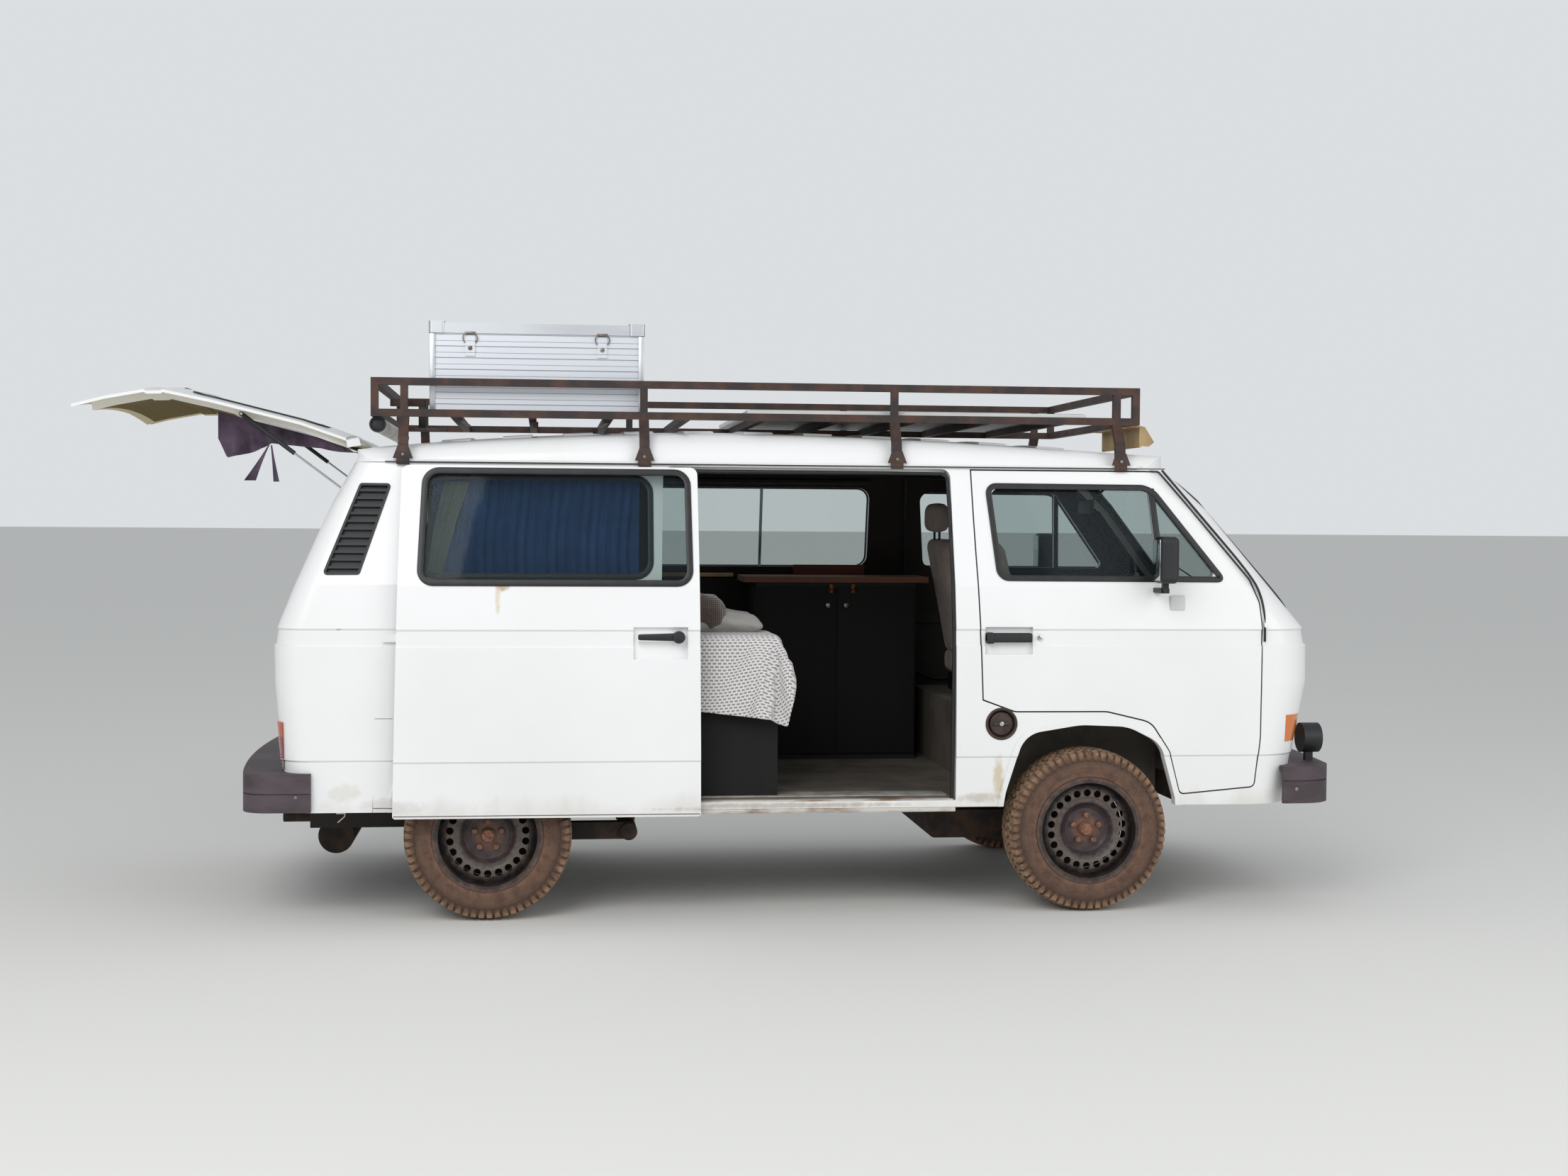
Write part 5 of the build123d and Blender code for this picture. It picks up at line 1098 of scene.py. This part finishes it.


# The flap and the ties wear the copy with the painted sheen
hung_sheet("gate_flap", 90, 16, flap_place, sheen_painted_cotton, "tailgate", "gate_cloth")
hung_sheet("gate_blackout", 36, 48, taut_place, purple_cotton, "tailgate")
for number, top, low, wide in ((1, (-2120, 1900), (-2195, 1756), 48), (2, (-2110, 1900), (-2090, 1752), 24)):
    def tie_place(u, v, top=top, low=low, wide=wide):
        """A point of a tie that widens to its loose end."""
        x = low[0] + (top[0] - low[0]) * v + (u - 0.5) * (6 + (wide - 6) * (1 - v) ** 1.4)
        return x, -588 + 5 * math.sin(5 * u) * (1 - v), low[1] + (top[1] - low[1]) * v

    hung_sheet("gate_tie_" + str(number), 10, 14, tie_place, sheen_painted_cotton, "tailgate")

# Kitchen doors with knobs, and two hooks under the worktop
# The doors' nearly black wood carries painted shade
for number, (low_x, high_x) in enumerate([(-14, 360), (366, 734)]):
    door = slab((low_x, high_x), (443, 454), (510, 1296), 3)
    dress(door, "cupboard_door_" + str(number + 1), shade_darkened_wood)
    knob = disc((high_x - 40 if number == 0 else low_x + 40, 437, 1210), ACROSS, 12, 12, 3)
    dress(knob, "cupboard_knob_" + str(number + 1), zinc)
for number, x in enumerate([336, 440]):
    plate = slab((x - 9, x + 9), (438.5, 442), (1268, 1312), 1)
    prongs = [bent_rod([(x + way * 3, 438, 1288), (x + way * 14, 428, 1278), (x + way * 17, 420, 1284)], 3)
              for way in (-1, 1)]
    dress(joined([plate] + prongs), "hook_" + str(number + 1), rusty_brass)

# Front doors' gaps: a thin black line near the skin, painted shade in the gap, and a thick rubber seal behind it
DOOR_EDGE = [
    (774, 889, 14), (905, 836, 60), (1290, 835, 120), (1480, 790, 90), (1562, 666, 90), (1611, 490, 20),
    (1923, 518, 20), (1943, 723, 60), (1944, 1180, 60), (1934, 1282, 60), (1897, 1375, 60), (1538, 1819, 20),
    (740, 1819, 14),
]


def rounded_path(corners, grow):
    """A closed path of x, z points along an outline moved out by grow, with rounded corners."""
    outline = grown([(x, z) for x, z, radius in corners], grow)
    path = []
    for i, (corner, (_, _, radius)) in enumerate(zip(outline, corners)):
        corner = Vector(corner)
        before = Vector(outline[i - 1]) - corner
        after = Vector(outline[(i + 1) % len(outline)]) - corner
        reach = radius / math.tan(max(0.2, before.angle(after) / 2))
        start = corner + before.normalized() * reach
        end = corner + after.normalized() * reach
        path += [start * (1 - t) ** 2 + corner * 2 * t * (1 - t) + end * t ** 2
                 for t in (0, 0.25, 0.5, 0.75, 1)]
    full = []
    for low, high in zip(path, path[1:] + path[:1]):
        count = max(1, int((high - low).length / 60))
        full += [low + (high - low) * step / count for step in range(count)]
    return full + full[:1]


for side, sign in SIDES:
    path = rounded_path(DOOR_EDGE, 3)
    # A thin black rod just inside the gap: painted shade
    line = bent_rod([(x, sign * (level(z, 1) - 6), z) for x, z in path], 2.3, False, 1)
    dress(line, "door_gap_shade_" + side, seal_rubber)
    seal = bent_rod([(x, sign * (level(z, 1) - 57), z) for x, z in path], 9, False)
    dress(seal, "door_seal_" + side, seal_rubber)

# Frame of the far window: a bar across it and a light bead below it
panel_on("window_bar", [(33, 1386), (47, 1386), (47, 1767), (33, 1767)], 0, far_side, 12, aluminium)
dress(slab((-490, 560), (858, 868), (1366, 1374), 1), "window_bead", aluminium)

# Red board behind the worktop, and a pale ledge below the far window
dress(slab((198, 552), (820, 828), (1346, 1394), 2), "worktop_upstand", red_wood)
dress(slab((-470, -95), (800, 846), (1334, 1352), 3), "window_ledge", beige)


# Feet of the rack's legs: flared plates with one bolt, and a clamp under the gutter
RACK_POSTS = [-1570, -607, 428, 1371]


def leg_face(x, z, proud):
    """The outer face of a rack leg near its foot."""
    return x, -(803 - (z - 1844) * 0.1 + proud), z


feet = []
for x in RACK_POSTS:
    flare = outline_face([(x - 40, 1846), (x + 40, 1846), (x + 21, 1898), (x - 21, 1898)], 3)
    feet.append(laid_on(flare, leg_face, 5, 1, 1))
    feet.append(slab((x - 26, x + 26), (-805, -798), (1822, 1848), 2))
flipped(dress(joined(feet), "rack_feet_right", rack_paint), "rack_feet_left")
bolts = [disc((x, -806, 1861), ACROSS, 7, 7, 1, 6) for x in RACK_POSTS]
flipped(dress(joined(bolts), "rack_bolts_right", zinc), "rack_bolts_left")

# Bracket at the rack's rear end, and slats under the case
tubes = [slab((-1632, -1490), (-640, -612), (2062, 2090), 1),
         slab((-1518, -1490), (-640, -612), (1972, 2062), 1),
         slab((-1550, -1400), (-690, -600), (1962, 1972), 1)]
dress(joined(tubes), "rack_bracket", rack_paint)
slats = []
for middle, lean in ((-1350, 30), (-1046, 0), (-747, -30)):
    slat = slab((middle - 11, middle + 11), (-420, -400), (1992, 2015.5), 1)
    slats.append(reshaped(slat, lambda x, y, z: (x + lean * (2015.5 - z) / 23.5, y, z)))
dress(joined(slats), "case_brackets", sill_metal)

# Solar cells behind the panels' glass
for side, ends in (("right", (-680, -14)), ("left", (14, 680))):
    dress(slab((-169, 1240), ends, (2060, 2063.5), 0), "solar_cells_" + side, solar_cells)

# Ends of the white pipe
PIPE_X, PIPE_END, PIPE_Z = -1677, 701, 1985
for side, sign in SIDES:
    collar = hoop((PIPE_X, sign * PIPE_END, PIPE_Z), ACROSS, 29, 4.5)
    cap = disc((PIPE_X, sign * (PIPE_END - 7), PIPE_Z), ACROSS, 27, 6)
    dress(joined([collar, cap]), "pipe_end_" + side, black_plastic)

# Latches of the case: rivet, wire bail and its hook on the lid
latches = []
BAIL = [(-20, -666, 2322), (-29, -669, 2330), (-29, -673, 2350), (-14, -674, 2359)]
BAIL += [(-x, y, z) for x, y, z in reversed(BAIL)]
for x in (-1310, -775):
    bail = bent_rod([(x + step, y, z) for step, y, z in BAIL], 2.2)
    rivet = disc((x, -666, 2300), ACROSS, 9, 5, 1.5)
    hook = slab((x - 22, x + 22), (-673, -664), (2356, 2366), 3)
    latches += [bail, rivet, hook]
dress(joined(latches), "case_latches", zinc)
edges = [slab((x - 11, x + 11), (-668, -652), (2048, 2358), 3) for x in (-1462, -616)]
dress(joined(edges), "case_edges", aluminium)

# Headlamp rings, spot lamp lenses and their rims
HEADLAMP_Y, HEADLAMP_Z = 640, 1020
SPOT_FACE, SPOT_Y, SPOT_Z = 2278, 690, 697
for side, sign in SIDES:
    rim = front_face(sign * HEADLAMP_Y, HEADLAMP_Z, -8)
    dress(hoop(rim, ALONG, 74, 4), "headlamp_ring_" + side, black_plastic)
    lens = disc((SPOT_FACE + 1, sign * SPOT_Y, SPOT_Z), ALONG, 56, 6, 2)
    dress(lens, "spot_lens_" + side, lamp_glass)
    dress(hoop((SPOT_FACE, sign * SPOT_Y, SPOT_Z), ALONG, 59, 4.5), "spot_rim_" + side, black_plastic)

# Wipers on the windscreen
for side, foot_y, tip_y in (("right", -330, -40), ("left", 300, 610)):
    arm = bent_rod([front_face(foot_y, 1232, 16), front_face(foot_y + 40, 1262, 26),
                    front_face((foot_y + tip_y) / 2, 1330, 22)], 4)
    blade = bent_rod([front_face(tip_y - 280 + 25 * i, 1318 + 12 * i, 17) for i in range(13)], 3.5)
    boss = disc(front_face(foot_y, 1230, 10), (0.8, 0, 0.6), 14, 16, 3)
    dress(joined([arm, blade, boss]), "wiper_" + side, black_plastic)

# Handle of the tailgate, made for the shut tailgate
grip_x = rear_face(0, 1150, 0)[0]
grip = slab((grip_x - 14, grip_x + 2), (-70, 70), (1126, 1160), 6, 3)
opened(dress(grip, "tailgate_grip", black_plastic, "tailgate"))

# Inner mirror on its stalk
mirror = slab((1432, 1452), (-110, 110), (1650, 1712), 8, 3)
stalk = bent_rod([(1452, 0, 1690), (1490, 0, 1730), (1525, 0, 1760)], 5)
dress(joined([mirror, stalk]), "inner_mirror", black_plastic)

# Black line along the gutter, a painted shadow under its edge, and the seal round the side doorway
GUTTER_Y, GUTTER_Z = 796, 1833
for side, sign in SIDES:
    # A thin black rod at the gutter: painted shadow
    line = bent_rod([(x, sign * GUTTER_Y, GUTTER_Z) for x in range(-1640, 1561, 200)], 2.2, False)
    dress(line, "gutter_shadow_line_" + side, seal_rubber)
DOORWAY = [(652, 470), (652, 644), (652, 950), (652, 1100), (651, 1172), (649, 1345), (645, 1665), (640, 1790),
           (618, 1804), (300, 1806), (-552, 1806)]
seal = bent_rod([near_side(x, z, -16) for x, z in DOORWAY], 8, False)
dress(seal, "doorway_seal", seal_rubber)

# Black panel behind the air vents' slats: painted shade in the vent openings
VENT_OUTLINE = [(-1737, 1747), (-1612, 1746), (-1732, 1383), (-1877, 1382)]
for side, surface in (("right", near_side), ("left", far_side)):
    panel_on("vent_shade_panel_" + side, VENT_OUTLINE, 12, surface, 2, black_plastic, "van_body", 0, -16)

# Screws in the ends of the bumpers
screws = [disc((x, sign * 929.5, 506), ACROSS, 8, 5, 1.5, 12) for x in (2100, -1975) for side, sign in SIDES]
dress(joined(screws), "bumper_screws", zinc)

# Camera of the photo: turns in degrees, focal length in pixels of the frame, place in metres
SENSOR = 36
FOCAL_PIXELS = 2868.4
PICTURE_WIDTH = 2212
YAW = math.radians(6.73)
PITCH = math.radians(1.89)
ROLL = math.radians(0.39)
ahead = Vector((math.sin(YAW), math.cos(YAW), 0))
right = Vector((math.cos(YAW), -math.sin(YAW), 0))
up = Vector((0, 0, 1))
view = ahead * math.cos(PITCH) - up * math.sin(PITCH)
high = up * math.cos(PITCH) + ahead * math.sin(PITCH)
camera_right = right * math.cos(ROLL) + high * math.sin(ROLL)
camera_up = high * math.cos(ROLL) - right * math.sin(ROLL)
camera_data = bpy.data.cameras.new("camera")
camera_data.sensor_width = SENSOR
camera_data.lens = FOCAL_PIXELS / PICTURE_WIDTH * SENSOR
camera = bpy.data.objects.new("camera", camera_data)
bpy.context.scene.collection.objects.link(camera)
turn = Matrix((camera_right, camera_up, -view)).transposed().to_4x4()
camera.matrix_world = Matrix.Translation((DX - 1.0087, -9.0429, 1.6066)) @ turn
bpy.context.scene.camera = camera

# Pale floor
alone()
bpy.ops.mesh.primitive_plane_add(size=600, location=(0, 0, 0))
ground = bpy.context.object
ground.name = "ground"
ground.data.materials.append(plain("pale_floor", "#e4e3df", 0.9))

# Soft daylight from above and from the near side
world = bpy.data.worlds.new("world")
bpy.context.scene.world = world
world.use_nodes = True
air = world.node_tree
daylight = air.nodes["Background"]
feed(daylight, {"Color": "#e8ecf0", "Strength": 0.68})
backdrop = add_node(air, "Background", {"Color": "#e6e9ec", "Strength": 0.9})
direct = add_node(air, "LightPath", out="Is Camera Ray")
through_glass = add_node(air, "LightPath", out="Is Transmission Ray")
either = add_node(air, "Math", [direct, through_glass], operation="MAXIMUM")
both = add_node(air, "MixShader", [either, daylight.outputs[0], backdrop])
feed(air.nodes["World Output"], {"Surface": both})


def area_light(name, place, target, size, power):
    """A square soft light aimed at target."""
    data = bpy.data.lights.new(name, "AREA")
    data.size = size
    data.energy = power
    light = bpy.data.objects.new(name, data)
    bpy.context.scene.collection.objects.link(light)
    light.location = place
    light.rotation_euler = (Vector(target) - Vector(place)).to_track_quat("-Z", "Y").to_euler()
    return light


area_light("key", (-4, -9, 7), (0, 0, 1), 6, 495)
area_light("fill", (6, -7, 4), (0, 0, 1), 6, 180)
bpy.context.scene.view_settings.view_transform = "Standard"
